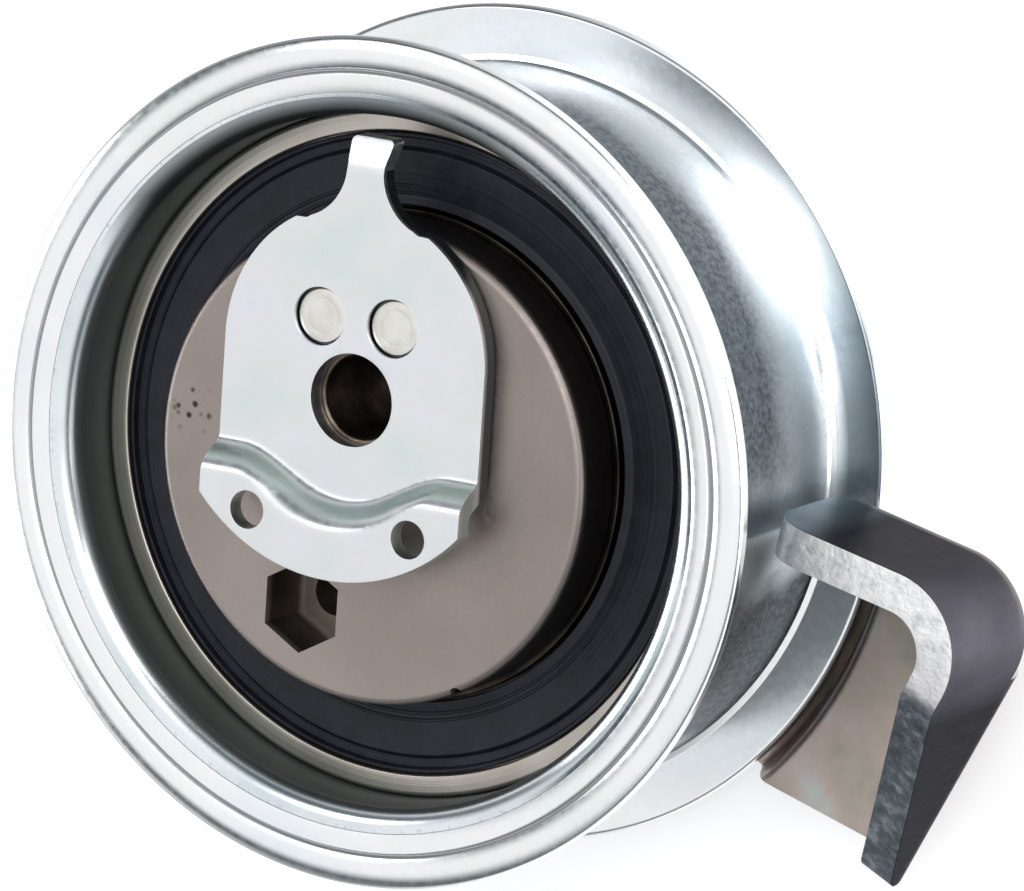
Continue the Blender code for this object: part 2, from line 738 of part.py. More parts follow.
def make_working_eccentric(steel, axis):
    """Disc and hub about the pulley's axis, bored off centre for the adjusting eccentric."""
    disc = HUB_RADIUS + DISC_LIP
    section = [
        (0.0, HUB_BACK),
        (HUB_RADIUS - 0.0005, HUB_BACK),
        (HUB_RADIUS, HUB_BACK + 0.0005),
        (HUB_RADIUS, DISC_BACK),
        (disc, DISC_BACK),
        (disc, DISC_FRONT - DISC_EDGE),
        (disc - DISC_EDGE * 0.3, DISC_FRONT - DISC_EDGE * 0.3),
        (disc - DISC_EDGE, DISC_FRONT),
        (0.0, DISC_FRONT),
    ]
    body = turned_body(section, BEARING_STEPS)
    piece = add_piece("working_eccentric", body, steel, axis, PULLEY)
    bore = [
        (0.0, HUB_BACK - SHEET),
        (HOLE_RADIUS, HUB_BACK - SHEET),
        (HOLE_RADIUS, DISC_FRONT - SLIDE_WASHER_THICKNESS - 2 * SEAT_GAP),
        (
            HOLE_RADIUS + SLIDE_WASHER_WALL + 3 * SEAT_GAP,
            DISC_FRONT - SLIDE_WASHER_THICKNESS - 2 * SEAT_GAP,
        ),
        (HOLE_RADIUS + SLIDE_WASHER_WALL + 3 * SEAT_GAP, DISC_FRONT + SHEET),
        (0.0, DISC_FRONT + SHEET),
    ]
    cut(piece, "cut_bush_bore", turned_body(bore, BUSH_STEPS), centre=SWING)
    radius = HEX_FLATS / 2 / cos(pi / 6)
    hexagon = plate_body(
        arc((0.0, 0.0), radius, pi / 6, pi / 6 + 2 * pi, 6)[:-1],
        DISC_FRONT - HEX_DEPTH,
        DISC_FRONT + SHEET,
    )
    reach = HUB_RADIUS - HEX_RIM
    socket = Vector((reach * cos(HEX_ANGLE), reach * sin(HEX_ANGLE), 0.0))
    cut(piece, "cut_hex_socket", hexagon, centre=socket)
    drain = disc_body(DRAIN_RADIUS, HUB_BACK - SHEET, DISC_FRONT - HEX_DEPTH / 2, SMALL_STEPS)
    offset = Vector((DRAIN_OFFSET, DRAIN_OFFSET, 0.0))
    cut(piece, "cut_socket_drain", drain, centre=socket + offset)
    leg = leg_hole_body(HUB_BACK - SHEET, HUB_BACK + FRONT_LEG_DEPTH + 4 * RUNNING_GAP)
    cut(piece, "cut_spring_leg", leg, centre=SWING + front_leg_offset())
    nick = disc_body(NICK_RADIUS, DISC_BACK - SHEET, DISC_FRONT + SHEET, 8)
    place = Vector((disc * cos(NICK_ANGLE), disc * sin(NICK_ANGLE), 0.0))
    cut(piece, "cut_rim_nick", nick, centre=place)
    return piece


def make_plain_bush(bronze, axis):
    """Rolled sliding bush with its slit, pressed into the working eccentric."""
    outer = BUSH_RADIUS
    inner = ADJUSTER_RADIUS + RUNNING_GAP
    half = BUSH_SLIT / 2 / outer
    steps = BUSH_STEPS
    outline = arc((0.0, 0.0), outer, -pi / 2 + half, 3 * pi / 2 - half, steps)
    outline += arc((0.0, 0.0), inner, 3 * pi / 2 - half, -pi / 2 + half, steps)
    low = HUB_BACK + SEAT_GAP
    high = DISC_FRONT - SLIDE_WASHER_THICKNESS - 3 * SEAT_GAP
    return add_piece("plain_bush", plate_body(outline, low, high), bronze, axis, SWING)


def make_bearing_rings(steel, arm_axis, spin_axis):
    """Inner ring on the hub and outer ring in the drum, each with its ball groove."""
    play = BEARING_FREE_PLAY
    track = BALL_RADIUS + play
    bore = HUB_RADIUS + SEAT_GAP
    inner_land = BALL_PITCH_RADIUS - INNER_LAND
    outer_land = BALL_PITCH_RADIUS + OUTER_LAND
    open_angle = acos(INNER_LAND / track)
    low = BEARING_BACK
    high = BEARING_FRONT
    edge = 0.0004
    depth = SEAL_THICKNESS + SEAL_SINK + SEAT_GAP
    inner = [
        (bore, low + edge),
        (bore + edge, low),
        (SEAL_LIP_RADIUS, low),
        (SEAL_LIP_RADIUS, low + depth),
        (inner_land, low + depth),
    ]
    groove = (BALL_PITCH_RADIUS, BEARING_MIDDLE)
    inner += arc(groove, track, pi + open_angle, pi - open_angle, 5)
    inner += [
        (inner_land, high - depth),
        (SEAL_LIP_RADIUS, high - depth),
        (SEAL_LIP_RADIUS, high),
        (bore + edge, high),
        (bore, high - edge),
    ]
    add_piece("bearing_inner_ring", turned_body(inner, BEARING_STEPS), steel, arm_axis)
    seat = outer_land + SEAL_SEAT
    open_angle = acos(OUTER_LAND / track)
    outer = [
        (BEARING_RADIUS, high - edge),
        (BEARING_RADIUS - edge, high),
        (seat, high),
        (seat, high - depth),
        (outer_land, high - depth),
    ]
    outer += arc(groove, track, open_angle, -open_angle, 5)
    outer += [
        (outer_land, low + depth),
        (seat, low + depth),
        (seat, low),
        (BEARING_RADIUS - edge, low),
        (BEARING_RADIUS, low + edge),
    ]
    add_piece("bearing_outer_ring", turned_body(outer, BEARING_STEPS), steel, spin_axis)


def make_seals(rubber, axis):
    """A dished rubber seal in each face of the outer ring, its lip just clear of the inner ring."""
    seat = BALL_PITCH_RADIUS + OUTER_LAND + SEAL_SEAT - SEAT_GAP
    lip = SEAL_LIP_RADIUS + RUNNING_GAP
    thick = SEAL_THICKNESS
    for name, face, inward in (
        ("front_seal", BEARING_FRONT - SEAL_SINK, -1),
        ("rear_seal", BEARING_BACK + SEAL_SINK, 1),
    ):
        section = [
            (seat, face),
            (seat, face + inward * thick),
            (seat - 0.0018, face + inward * thick),
            (lip + 0.0004, face + inward * thick),
            (lip, face + inward * thick * 0.6),
            (lip, face + inward * thick * 0.15),
            (lip + 0.0012, face + inward * thick * 0.35),
            (seat - SEAL_BEAD - SEAL_GROOVE - 0.0004, face + inward * thick * 0.2),
            (seat - SEAL_BEAD - SEAL_GROOVE, face + inward * thick * 0.6),
            (seat - SEAL_BEAD - 0.0002, face + inward * thick * 0.6),
            (seat - SEAL_BEAD, face),
        ]
        add_piece(name, turned_body(section, BEARING_STEPS), rubber, axis)


def make_balls(steel, axis):
    """The balls, each its own piece, evenly round the pitch circle."""
    body = bmesh.new()
    bmesh.ops.create_icosphere(body, subdivisions=2, radius=BALL_RADIUS)
    mesh = bpy.data.meshes.new("bearing_ball")
    body.to_mesh(mesh)
    body.free()
    for i in range(BALL_COUNT):
        angle = 2 * pi * i / BALL_COUNT
        place = Vector(
            (BALL_PITCH_RADIUS * cos(angle), BALL_PITCH_RADIUS * sin(angle), BEARING_MIDDLE)
        )
        add_object(f"ball_{i + 1:02d}", mesh, steel, axis, place)


def make_cage(polymer, axis):
    """Crown cage: a ring behind the balls with a prong between each pair."""
    pocket = BALL_RADIUS + RUNNING_GAP
    inner = BALL_PITCH_RADIUS - CAGE_WALL / 2
    outer = BALL_PITCH_RADIUS + CAGE_WALL / 2
    floor = BEARING_MIDDLE - pocket - CAGE_WEB
    samples = []
    for i in range(BALL_COUNT):
        middle = 2 * pi * i / BALL_COUNT
        for j in range(5):
            around = pi * j / 4
            side = -pocket * cos(around)
            height = BEARING_MIDDLE - pocket * sin(around)
            samples.append((middle + side / BALL_PITCH_RADIUS, height))
            if j == 4:
                turn = middle + side / BALL_PITCH_RADIUS
                samples.append((turn + 0.004, BEARING_MIDDLE + CAGE_PRONG))
                next_edge = middle + 2 * pi / BALL_COUNT - pocket / BALL_PITCH_RADIUS
                samples.append((next_edge - 0.004, BEARING_MIDDLE + CAGE_PRONG))
    body = bmesh.new()
    rings = []
    for angle, height in samples:
        rings.append(
            [
                body.verts.new((radius * cos(angle), radius * sin(angle), z))
                for radius, z in (
                    (inner, floor),
                    (outer, floor),
                    (outer, height),
                    (inner, height),
                )
            ]
        )
    for i, ring in enumerate(rings):
        after = rings[(i + 1) % len(rings)]
        for j in range(4):
            k = (j + 1) % 4
            body.faces.new((ring[j], ring[k], after[k], after[j]))
    return add_piece("ball_cage", body, polymer, axis)


def make_drum(steel, axis):
    """The tread tube: rounded lips, a bore for the bearing and a shoulder behind it."""
    back = PULLEY_BACK + 0.0002
    front = PULLEY_FRONT - 0.0001
    bore = DRUM_BORE_RADIUS
    shoulder = bore - SHOULDER_HEIGHT
    step = BEARING_BACK - SEAT_GAP
    lip = LIP_RADIUS
    section = [
        (TREAD_RADIUS, back + 0.0003),
        (TREAD_RADIUS, front - 0.0003),
        (TREAD_RADIUS - 0.0003, front),
    ]
    section += arc((bore + lip, front - lip), lip, pi / 2, pi, 4)
    section += [
        (bore, step),
        (shoulder, step),
        (shoulder, back + lip + SHOULDER_HEIGHT),
        (bore, back + lip),
    ]
    section += arc((bore + lip, back + lip), lip, pi, 3 * pi / 2, 3)[1:]
    section += [(TREAD_RADIUS - 0.0003, back)]
    return add_piece("pulley_drum", turned_body(section, PULLEY_STEPS), steel, axis)


def flange_section(edge, inward):
    """A flange ring's section: a flat land, a rolled groove and a bead at the rim."""
    inner = TREAD_RADIUS + SEAT_GAP
    outer = FLANGE_RADIUS
    width = outer - inner
    sheet = FLANGE_SHEET
    face = [
        (inner, 0.00045),
        (inner + 0.0003, 0.00015),
        (inner + 0.36 * width, 0.00015),
        (inner + 0.50 * width, 0.00065),
        (inner + 0.62 * width, 0.00075),
        (inner + 0.80 * width, 0.0001),
        (outer - 0.0004, 0.0),
        (outer, 0.0005),
        (outer, sheet - 0.0005),
        (outer - 0.0005, sheet - 0.0001),
        (inner + 0.0003, sheet),
        (inner, sheet - 0.0003),
    ]
    return [(r, edge + inward * depth) for r, depth in face]


def make_flanges(steel, axis):
    """A pressed flange ring at each end of the drum."""
    front = flange_section(PULLEY_FRONT, -1)
    rear = flange_section(PULLEY_BACK, 1)
    add_piece("front_flange", turned_body(front, PULLEY_STEPS), steel, axis)
    add_piece("rear_flange", turned_body(rear, PULLEY_STEPS), steel, axis)


def build():
    """Puts the tensioner together, from the base plate out."""
    clear_scene()
    zinc = finish("bright_zinc", (0.66, 0.69, 0.69), 0.28, 1.0)
    hot_rolled = finish("oiled_steel", (0.10, 0.09, 0.08), 0.40, 1.0)
    sintered = finish("sintered_steel", (0.30, 0.26, 0.24), 0.50, 1.0)
    ground = finish("ground_steel", (0.42, 0.38, 0.33), 0.30, 1.0)
    ball_steel = finish("ball_steel", (0.60, 0.60, 0.60), 0.10, 1.0)
    spring_steel = finish("spring_steel", (0.12, 0.12, 0.13), 0.45, 1.0)
    bronze = finish("bush_bronze", (0.40, 0.26, 0.13), 0.40, 1.0)
    rubber = finish("seal_rubber", (0.012, 0.014, 0.022), 0.35, 0.0)
    polymer = finish("washer_polymer", (0.08, 0.08, 0.07), 0.50, 0.0)
    stud_axis = axis_empty("stud_axis", STUD)
    swing_axis = axis_empty("swing_axis", SWING, stud_axis)
    pulley_axis = axis_empty("pulley_axis", PULLEY, swing_axis)
    ball_axis = axis_empty("ball_axis", PULLEY, swing_axis)
    make_base_plate(hot_rolled)
    make_spring(spring_steel)
    make_rear_washer(polymer)
    make_adjusting_eccentric(sintered, stud_axis)
    make_pointer_plate(zinc, stud_axis)
    make_rivets(zinc, stud_axis)
    make_slide_washer(polymer, swing_axis)
    make_working_eccentric(sintered, swing_axis)
    make_plain_bush(bronze, swing_axis)
    make_bearing_rings(ground, swing_axis, pulley_axis)
    make_seals(rubber, pulley_axis)
    make_balls(ball_steel, ball_axis)
    make_cage(polymer, ball_axis)
    make_drum(zinc, pulley_axis)
    make_flanges(zinc, pulley_axis)


build()
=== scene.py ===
from math import acos, atan2, cos, pi, radians, sin, sqrt, tan

import bmesh
import bpy
from mathutils import Matrix, Vector


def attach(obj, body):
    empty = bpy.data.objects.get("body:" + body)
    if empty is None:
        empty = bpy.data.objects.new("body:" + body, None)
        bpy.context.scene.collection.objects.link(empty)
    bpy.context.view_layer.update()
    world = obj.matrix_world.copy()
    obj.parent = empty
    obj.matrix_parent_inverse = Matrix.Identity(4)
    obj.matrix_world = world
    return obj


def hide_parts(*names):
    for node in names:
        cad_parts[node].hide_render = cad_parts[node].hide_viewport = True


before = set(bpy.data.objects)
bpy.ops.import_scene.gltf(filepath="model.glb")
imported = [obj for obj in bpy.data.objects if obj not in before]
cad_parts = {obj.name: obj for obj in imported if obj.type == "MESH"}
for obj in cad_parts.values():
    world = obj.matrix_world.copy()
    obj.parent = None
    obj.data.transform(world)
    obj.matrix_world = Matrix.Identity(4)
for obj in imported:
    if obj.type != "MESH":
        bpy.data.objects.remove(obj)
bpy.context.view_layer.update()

# Base plate and hook: 3.9 mm hot rolled strip, blanked, set up in a step and bent up into the
# hook that catches on the engine. It is only oiled, so the rolled faces stay dark brown-grey
# and the sheared edges are bright and rough.
STUD = Vector((-0.0011, 0.0065))
SWING = Vector((-0.0011, 0.0095))
PLATE_SHEET = 0.0039
PLATE_RADIUS = 0.0267
STEP_START = 0.0422
STEP_RUN = 0.0014
STEP_RISE = 0.0039
STEP_INSIDE_BEND = 0.0004
STEP_OUTSIDE_BEND = 0.0009
SHOULDER = (0.0400, -0.0065)
SHOULDER_ROUND = 0.0060
HOOK_LEAN = radians(26.0)
HOOK_REACH = 0.0596
HOOK_BEND = 0.0050
HOOK_TOP = -0.0115
HOOK_BOTTOM = 0.0138
HOOK_WIDTH = 0.0152
ARM_FOOT = 0.0119
TAPER_START = -0.0102
TAPER_ANGLE = radians(30.6)
TAB_ROUND = 0.0010
CLAW_SLOPE = radians(12.5)
CLAW_RADIUS = 0.0080
CLAW_STRAIGHT = 0.0009
CLAW_TIP_X = 0.0388
CLAW_ROUND = 0.0045
CLAW_BACK_ROUND = 0.0030
SPIGOT_HOLE = 0.00725
SPIGOT_FLARE = 0.0013
SWAGE_DEPTH = 0.0014
LEG_HOLE = 0.00165
LEG_HOLE_PLACE = Vector((-0.012697, 0.021097))


def linear(code):
    """An sRGB hex colour as the linear colour that a shader takes."""
    parts = [int(code[i:i + 2], 16) / 255 for i in (1, 3, 5)]
    return (*[c / 12.92 if c <= 0.04045 else ((c + 0.055) / 1.055) ** 2.4 for c in parts], 1.0)


def add(tree, kind, inputs=None, stops=(), **settings):
    """Adds a node to a tree: its settings, its (position, hex colour) stops if it has a ramp,
    then a value or a link for each named input."""
    made = tree.nodes.new(kind)
    for name, value in settings.items():
        setattr(made, name, value)
    for i, (position, code) in enumerate(stops):
        bar = made.color_ramp.elements
        spot = bar[i] if i < 2 else bar.new(position)
        spot.position = position
        spot.color = linear(code)
    for name, value in (inputs or {}).items():
        if isinstance(value, bpy.types.NodeSocket):
            tree.links.new(value, made.inputs[name])
        else:
            made.inputs[name].default_value = value
    return made


def surface(name):
    """A new material with its node tree, its Principled shader and its Object coordinates."""
    made = bpy.data.materials.new(name)
    made.use_nodes = True
    tree = made.node_tree
    place = add(tree, "ShaderNodeTexCoord").outputs["Object"]
    return made, tree, tree.nodes["Principled BSDF"], place


def arc(centre, radius, start, end, steps):
    """Points along a circular arc, both ends included."""
    turns = [start + (end - start) * i / steps for i in range(steps + 1)]
    return [(centre[0] + radius * cos(t), centre[1] + radius * sin(t)) for t in turns]


def fillet(before, corner, after, radius, steps):
    """The arc that rounds a corner of an outline."""
    here = Vector(corner)
    back = (Vector(before) - here).normalized()
    ahead = (Vector(after) - here).normalized()
    half = acos(max(-1.0, min(1.0, back.dot(ahead)))) / 2
    centre = here + (back + ahead).normalized() * (radius / sin(half))
    start = here + back * (radius / tan(half)) - centre
    end = here + ahead * (radius / tan(half)) - centre
    first = atan2(start.y, start.x)
    turn = (atan2(end.y, end.x) - first + pi) % (2 * pi) - pi
    return arc(centre, radius, first, first + turn, steps)


def hook_point(out, down):
    """A point in plan, from its distance out to the hook's wall and down along it."""
    return (
        out * cos(HOOK_LEAN) - down * sin(HOOK_LEAN),
        -out * sin(HOOK_LEAN) - down * cos(HOOK_LEAN),
    )


def crossing(chain, radius):
    """Where a chain of points in plan crosses a circle about the pulley's axis."""
    for p, q in zip(chain, chain[1:]):
        a, b = Vector(p), Vector(q)
        if (a.length - radius) * (b.length - radius) > 0.0:
            continue
        run = b - a
        half = a.dot(run) / run.length_squared
        reach = sqrt(half * half - (a.length_squared - radius * radius) / run.length_squared)
        share = -half + reach if 0.0 <= -half + reach <= 1.0 else -half - reach
        return a + run * share
    raise ValueError("the chain doesn't reach the circle")


def eased(distance, width):
    """The positive part of a distance, with its corner rounded over width to each side."""
    if distance <= -width:
        return 0.0
    if distance >= width:
        return distance
    return (distance + width) ** 2 / (4 * width)


def tangent(point, side):
    """The angle about the stud where a line from point touches the plate's round."""
    away = Vector(point) - STUD
    return atan2(away.y, away.x) + side * acos(PLATE_RADIUS / away.length)


def placed(name, data):
    """A new object in the scene."""
    made = bpy.data.objects.new(name, data)
    bpy.context.scene.collection.objects.link(made)
    return made


def new_object(name, body, *materials):
    """An object at the origin from a bmesh, its faces pointing out and smooth."""
    bmesh.ops.recalc_face_normals(body, faces=body.faces)
    mesh = bpy.data.meshes.new(name)
    body.to_mesh(mesh)
    body.free()
    mesh.shade_smooth()
    for material in materials:
        mesh.materials.append(material)
    return placed(name, mesh)


def settled(made, *helpers):
    """Turns an object's modifiers into its mesh and removes the shapes that cut it."""
    ready = made.evaluated_get(bpy.context.evaluated_depsgraph_get())
    mesh = bpy.data.meshes.new_from_object(ready)
    made.modifiers.clear()
    made.data = mesh
    for helper in helpers:
        bpy.data.objects.remove(helper, do_unlink=True)
    return made


def cut_out(made, helper):
    """Cuts a closed shape out of an object."""
    step = made.modifiers.new("cut", "BOOLEAN")
    step.operation = "DIFFERENCE"
    step.solver = "EXACT"
    step.object = helper
    return helper


def soft_edges(made, width, segments=3, angle=40.0):
    """Rounds the sharp edges as stamping, tumbling or turning leaves them."""
    step = made.modifiers.new("soft_edges", "BEVEL")
    step.width = width
    step.segments = segments
    step.limit_method = "ANGLE"
    step.angle_limit = radians(angle)


def flat_faces(made, *helpers):
    """Settles an object and keeps its broad faces flat in shade and its real corners sharp."""
    settled(made, *helpers)
    made.data.set_sharp_from_angle(angle=radians(40.0))
    step = made.modifiers.new("flat_faces", "WEIGHTED_NORMAL")
    step.mode = "FACE_AREA"
    step.weight = 80
    step.keep_sharp = True
    return settled(made)


def walls(body, rows, steps, closed):
    """The faces between circles about Z, from their (radius, height, centre) rows."""
    turns = [2 * pi * i / steps for i in range(steps)]
    rings = [
        [body.verts.new((c[0] + r * cos(t), c[1] + r * sin(t), z)) for t in turns]
        for r, z, c in rows
    ]
    for ring, after in zip(rings, rings[1:] + (rings[:1] if closed else [])):
        for i in range(steps):
            j = (i + 1) % steps
            body.faces.new((ring[i], ring[j], after[j], after[i]))
    return rings


def solid_turned(profile, steps, centre):
    """A solid about Z whose (radius, height) profile starts and ends on its axis."""
    body = bmesh.new()
    low = body.verts.new((centre[0], centre[1], profile[0][1]))
    high = body.verts.new((centre[0], centre[1], profile[-1][1]))
    rings = walls(body, [(r, z, centre) for r, z in profile[1:-1]], steps, False)
    for i in range(steps):
        j = (i + 1) % steps
        body.faces.new((low, rings[0][j], rings[0][i]))
        body.faces.new((high, rings[-1][i], rings[-1][j]))
    return body


def drilled(made, radius, low, high, steps, centre):
    """Cuts a round hole out of an object and gives back the shape that cuts it."""
    body = solid_turned([(0.0, low), (radius, low), (radius, high), (0.0, high)], steps, centre)
    return cut_out(made, new_object("drill", body, made.data.materials[0]))


def base_plate_body():
    """The whole strip as one closed mesh; material 1 is the sheared edge."""
    body = bmesh.new()
    foot = hook_point(HOOK_REACH - HOOK_BEND, ARM_FOOT)
    head = hook_point(HOOK_REACH - HOOK_BEND, HOOK_TOP)
    high = tangent(SHOULDER, 1)
    low = tangent(foot, -1) + 2 * pi
    rim = arc(STUD, PLATE_RADIUS, high, low, 120)
    waist = fillet(head, SHOULDER, rim[0], SHOULDER_ROUND, 12)
    side_a = [rim[-1], foot]
    side_b = [rim[0]] + waist[::-1] + [head]
    slope = STEP_RISE / STEP_RUN
    shift = PLATE_SHEET * tan(atan2(STEP_RISE, STEP_RUN) / 2)
    first = STEP_START - STEP_INSIDE_BEND
    last = STEP_START + shift + STEP_RUN + STEP_OUTSIDE_BEND
    count = 20

    def top(r):
        rise = eased(r - STEP_START, STEP_INSIDE_BEND)
        return PLATE_SHEET + slope * (rise - eased(r - STEP_START - STEP_RUN, STEP_OUTSIDE_BEND))

    def bottom(r):
        rise = eased(r - STEP_START - shift, STEP_OUTSIDE_BEND)
        return slope * (rise - eased(r - STEP_START - shift - STEP_RUN, STEP_INSIDE_BEND))

    def pair(point, r=None):
        reach = Vector(point).length if r is None else r
        reach = max(first, min(last, reach))
        return body.verts.new((*point, bottom(reach))), body.verts.new((*point, top(reach)))

    rows = []
    for i in range(count + 1):
        r = first + (last - first) * i / count
        a, b = crossing(side_a, r), crossing(side_b, r)
        start, end = atan2(a.y, a.x), atan2(b.y, b.x)
        line = arc((0.0, 0.0), r, start, end, 24)
        rows.append([pair(point, r) for point in line])
    for row, after in zip(rows, rows[1:]):
        for k in (0, 1):
            for i in range(24):
                body.faces.new((row[i][k], row[i + 1][k], after[i + 1][k], after[i][k]))
        for i in (0, -1):
            body.faces.new((row[i][0], row[i][1], after[i][1], after[i][0])).material_index = 1
    inner = [pair(point, 0.0) for point in rim]
    near_b = [pair(p, 0.0) for p in side_b[1:-1] if Vector(p).length < first]
    disc = near_b[::-1] + inner
    edge = [rows[0][-1]] + disc + [rows[0][0]]
    for k in (0, 1):
        body.faces.new([v[k] for v in disc] + [v[k] for v in rows[0]])
    for a, b in zip(edge, edge[1:]):
        body.faces.new((a[0], b[0], b[1], a[1])).material_index = 1
    downs = [HOOK_TOP, TAPER_START, 0.0, ARM_FOOT]
    far_b = [pair(p, last) for p in side_b[1:-1] if Vector(p).length > last]
    end_line = [pair(hook_point(HOOK_REACH - HOOK_BEND, down), last) for down in downs]
    arm = far_b + end_line
    for k in (0, 1):
        body.faces.new([v[k] for v in rows[-1]] + [v[k] for v in arm])
    edge = [rows[-1][-1]] + far_b + [end_line[0]]
    for a, b in list(zip(edge, edge[1:])) + [(end_line[-1], rows[-1][0])]:
        body.faces.new((a[0], b[0], b[1], a[1])).material_index = 1
    add_hook(body)
    bmesh.ops.remove_doubles(body, verts=body.verts, dist=2e-6)
    return body


def hook_stations():
    """Stations along the strip from the tab's end to the claw's tip: the outer and inner point
    in plan, and how far the front and back edges are cut back there."""
    stations = []
    for turn in (0.0, 22.5, 45.0, 67.5, 90.0):
        down = HOOK_BOTTOM - TAB_ROUND * (1 - cos(radians(turn)))
        stations.append((down, TAB_ROUND * (1 - sin(radians(turn)))))
    stations += [(ARM_FOOT, 0.0), (0.0, 0.0), (TAPER_START, 0.0), (HOOK_TOP, 0.0)]
    wall = []
    for down, corner in stations:
        taper = max(0.0, down - TAPER_START) * tan(TAPER_ANGLE)
        outer = hook_point(HOOK_REACH, down)
        inner = hook_point(HOOK_REACH - PLATE_SHEET, down)
        wall.append((outer, inner, taper + corner, 0.0))
    middle = hook_point(HOOK_REACH - CLAW_RADIUS, HOOK_TOP - CLAW_STRAIGHT)
    first, last = -HOOK_LEAN, pi / 2 - CLAW_SLOPE
    outside = arc(middle, CLAW_RADIUS, first, last, 28)
    inside = arc(middle, CLAW_RADIUS - PLATE_SHEET, first, last, 28)
    claw = [(outer, inner, 0.0, 0.0) for outer, inner in zip(outside, inside)]
    outer_end, inner_end = Vector(claw[-1][0]), Vector(claw[-1][1])
    back_along = Vector((-cos(CLAW_SLOPE), sin(CLAW_SLOPE)))
    length = (outer_end.x - CLAW_TIP_X) / cos(CLAW_SLOPE)
    for i in range(9):
        turn = pi / 2 * i / 8
        from_tip = CLAW_ROUND * (1 - sin(turn))
        past = CLAW_BACK_ROUND - from_tip
        back = CLAW_BACK_ROUND - sqrt(CLAW_BACK_ROUND**2 - past**2) if past > 0.0 else 0.0
        outer = outer_end + back_along * (length - from_tip)
        inner = inner_end + back_along * (length - from_tip)
        claw.append((tuple(outer), tuple(inner), CLAW_ROUND * (1 - cos(turn)), back))
    return [down for down, corner in stations], wall, claw


def add_hook(body):
    """The bend at the arm's end, the wall that leans over it and the claw that points back."""
    downs, wall, claw = hook_stations()
    back = STEP_RISE + HOOK_BEND
    front = back + HOOK_WIDTH
    rows = []
    for outer, inner, front_cut, back_cut in wall + claw:
        rows.append([
            body.verts.new((*outer, back + back_cut)),
            body.verts.new((*outer, front - front_cut)),
            body.verts.new((*inner, front - front_cut)),
            body.verts.new((*inner, back + back_cut)),
        ])
    count = len(wall)
    for i, (row, after) in enumerate(zip(rows, rows[1:])):
        for j in range(3 if i < count - 1 else 4):
            k = (j + 1) % 4
            face = body.faces.new((row[j], row[k], after[k], after[j]))
            face.material_index = j % 2
    for end in (0, -1):
        body.faces.new(rows[end]).material_index = 1
    middle = HOOK_REACH - HOOK_BEND
    inside = HOOK_BEND - PLATE_SHEET
    levels = [[(row[0], row[3]) for row in rows[:count]]]
    for i in range(1, 11):
        turn = pi / 2 * i / 10
        level = []
        for down in downs:
            outer = hook_point(middle + HOOK_BEND * cos(turn), down)
            inner = hook_point(middle + inside * cos(turn), down)
            level.append((
                body.verts.new((*outer, back - HOOK_BEND * sin(turn))),
                body.verts.new((*inner, back - inside * sin(turn))),
            ))
        levels.append(level)
    for level, below in zip(levels, levels[1:]):
        for i in range(count - 1):
            for j in (0, 1):
                body.faces.new((level[i][j], level[i + 1][j], below[i + 1][j], below[i][j]))
        for end in (0, -1):
            side = (level[end][0], level[end][1], below[end][1], below[end][0])
            body.faces.new(side).material_index = 1
    last = levels[-1]
    for i, down in enumerate(downs[1:]):
        if down >= ARM_FOOT:
            side = (last[i][0], last[i + 1][0], last[i + 1][1], last[i][1])
            body.faces.new(side).material_index = 1


# Hot rolled, pickled and oiled steel: grey-brown with a soft oily gloss and faint temper tints.
# Beyond the arm the hook is painted nearly black, a painted dark reflection. Rolling marks are
# 0.6 mm apart, and the tone drifts over some 8 mm.
rolled_steel, tree, shader, place = surface("oiled_hot_rolled_steel")
cloud = add(tree, "ShaderNodeTexNoise", {"Vector": place, "Scale": 120.0, "Detail": 4.0})
stretch = add(tree, "ShaderNodeMapping", {
    "Vector": place, "Rotation": (0.0, 0.0, HOOK_LEAN), "Scale": (1.0, 7.0, 1.0),
})
lines = add(tree, "ShaderNodeTexNoise", {
    "Vector": stretch.outputs["Vector"], "Scale": 260.0, "Detail": 3.0,
})
arm_tone = add(tree, "ShaderNodeValToRGB", {"Fac": cloud.outputs["Fac"]}, stops=[
    (0.28, "#8b8d83"), (0.43, "#aaa397"), (0.55, "#b8a8a3"), (0.70, "#b6bcba"),
]).outputs["Color"]
along = add(tree, "ShaderNodeVectorMath", {
    0: place, 1: (-sin(HOOK_LEAN), -cos(HOOK_LEAN), 0.0),
}, operation="DOT_PRODUCT")
# From the claw's tip to the bend is 26 mm; along it the hook is painted teal-grey at the tip,
# near black in the middle and lighter at the bend, a painted reflection and sheen. The wall is
# painted dark.
across = add(tree, "ShaderNodeVectorMath", {
    0: place, 1: (cos(HOOK_LEAN), -sin(HOOK_LEAN), 0.0),
}, operation="DOT_PRODUCT")
from_tip = add(tree, "ShaderNodeMapRange", {
    "Value": across.outputs["Value"], "From Min": 0.0340, "From Max": 0.0600,
})
claw_tone = add(tree, "ShaderNodeValToRGB", {"Fac": from_tip.outputs["Result"]}, stops=[
    (0.04, "#8a979d"), (0.16, "#6f797e"), (0.28, "#2b2a2a"), (0.60, "#343335"),
    (0.74, "#59575b"), (0.92, "#7a7880"),
]).outputs["Color"]
past_bend = add(tree, "ShaderNodeMapRange", {
    "Value": along.outputs["Value"], "From Min": HOOK_TOP - 0.0050, "From Max": HOOK_TOP + 0.0030,
})
# Painted dark reflection: the claw's painted tones, then near black on the wall past the bend.
hook_base = add(tree, "ShaderNodeMix", {
    "Factor": past_bend.outputs["Result"], 6: claw_tone, 7: linear("#101013"),
}, data_type="RGBA").outputs[2]
hook_drift = add(tree, "ShaderNodeValToRGB", {"Fac": cloud.outputs["Fac"]}, stops=[
    (0.30, "#d0d0d4"), (0.70, "#ffffff"),
]).outputs["Color"]
hook_tone = add(tree, "ShaderNodeMix", {
    "Factor": 1.0, 6: hook_base, 7: hook_drift,
}, data_type="RGBA", blend_type="MULTIPLY").outputs[2]
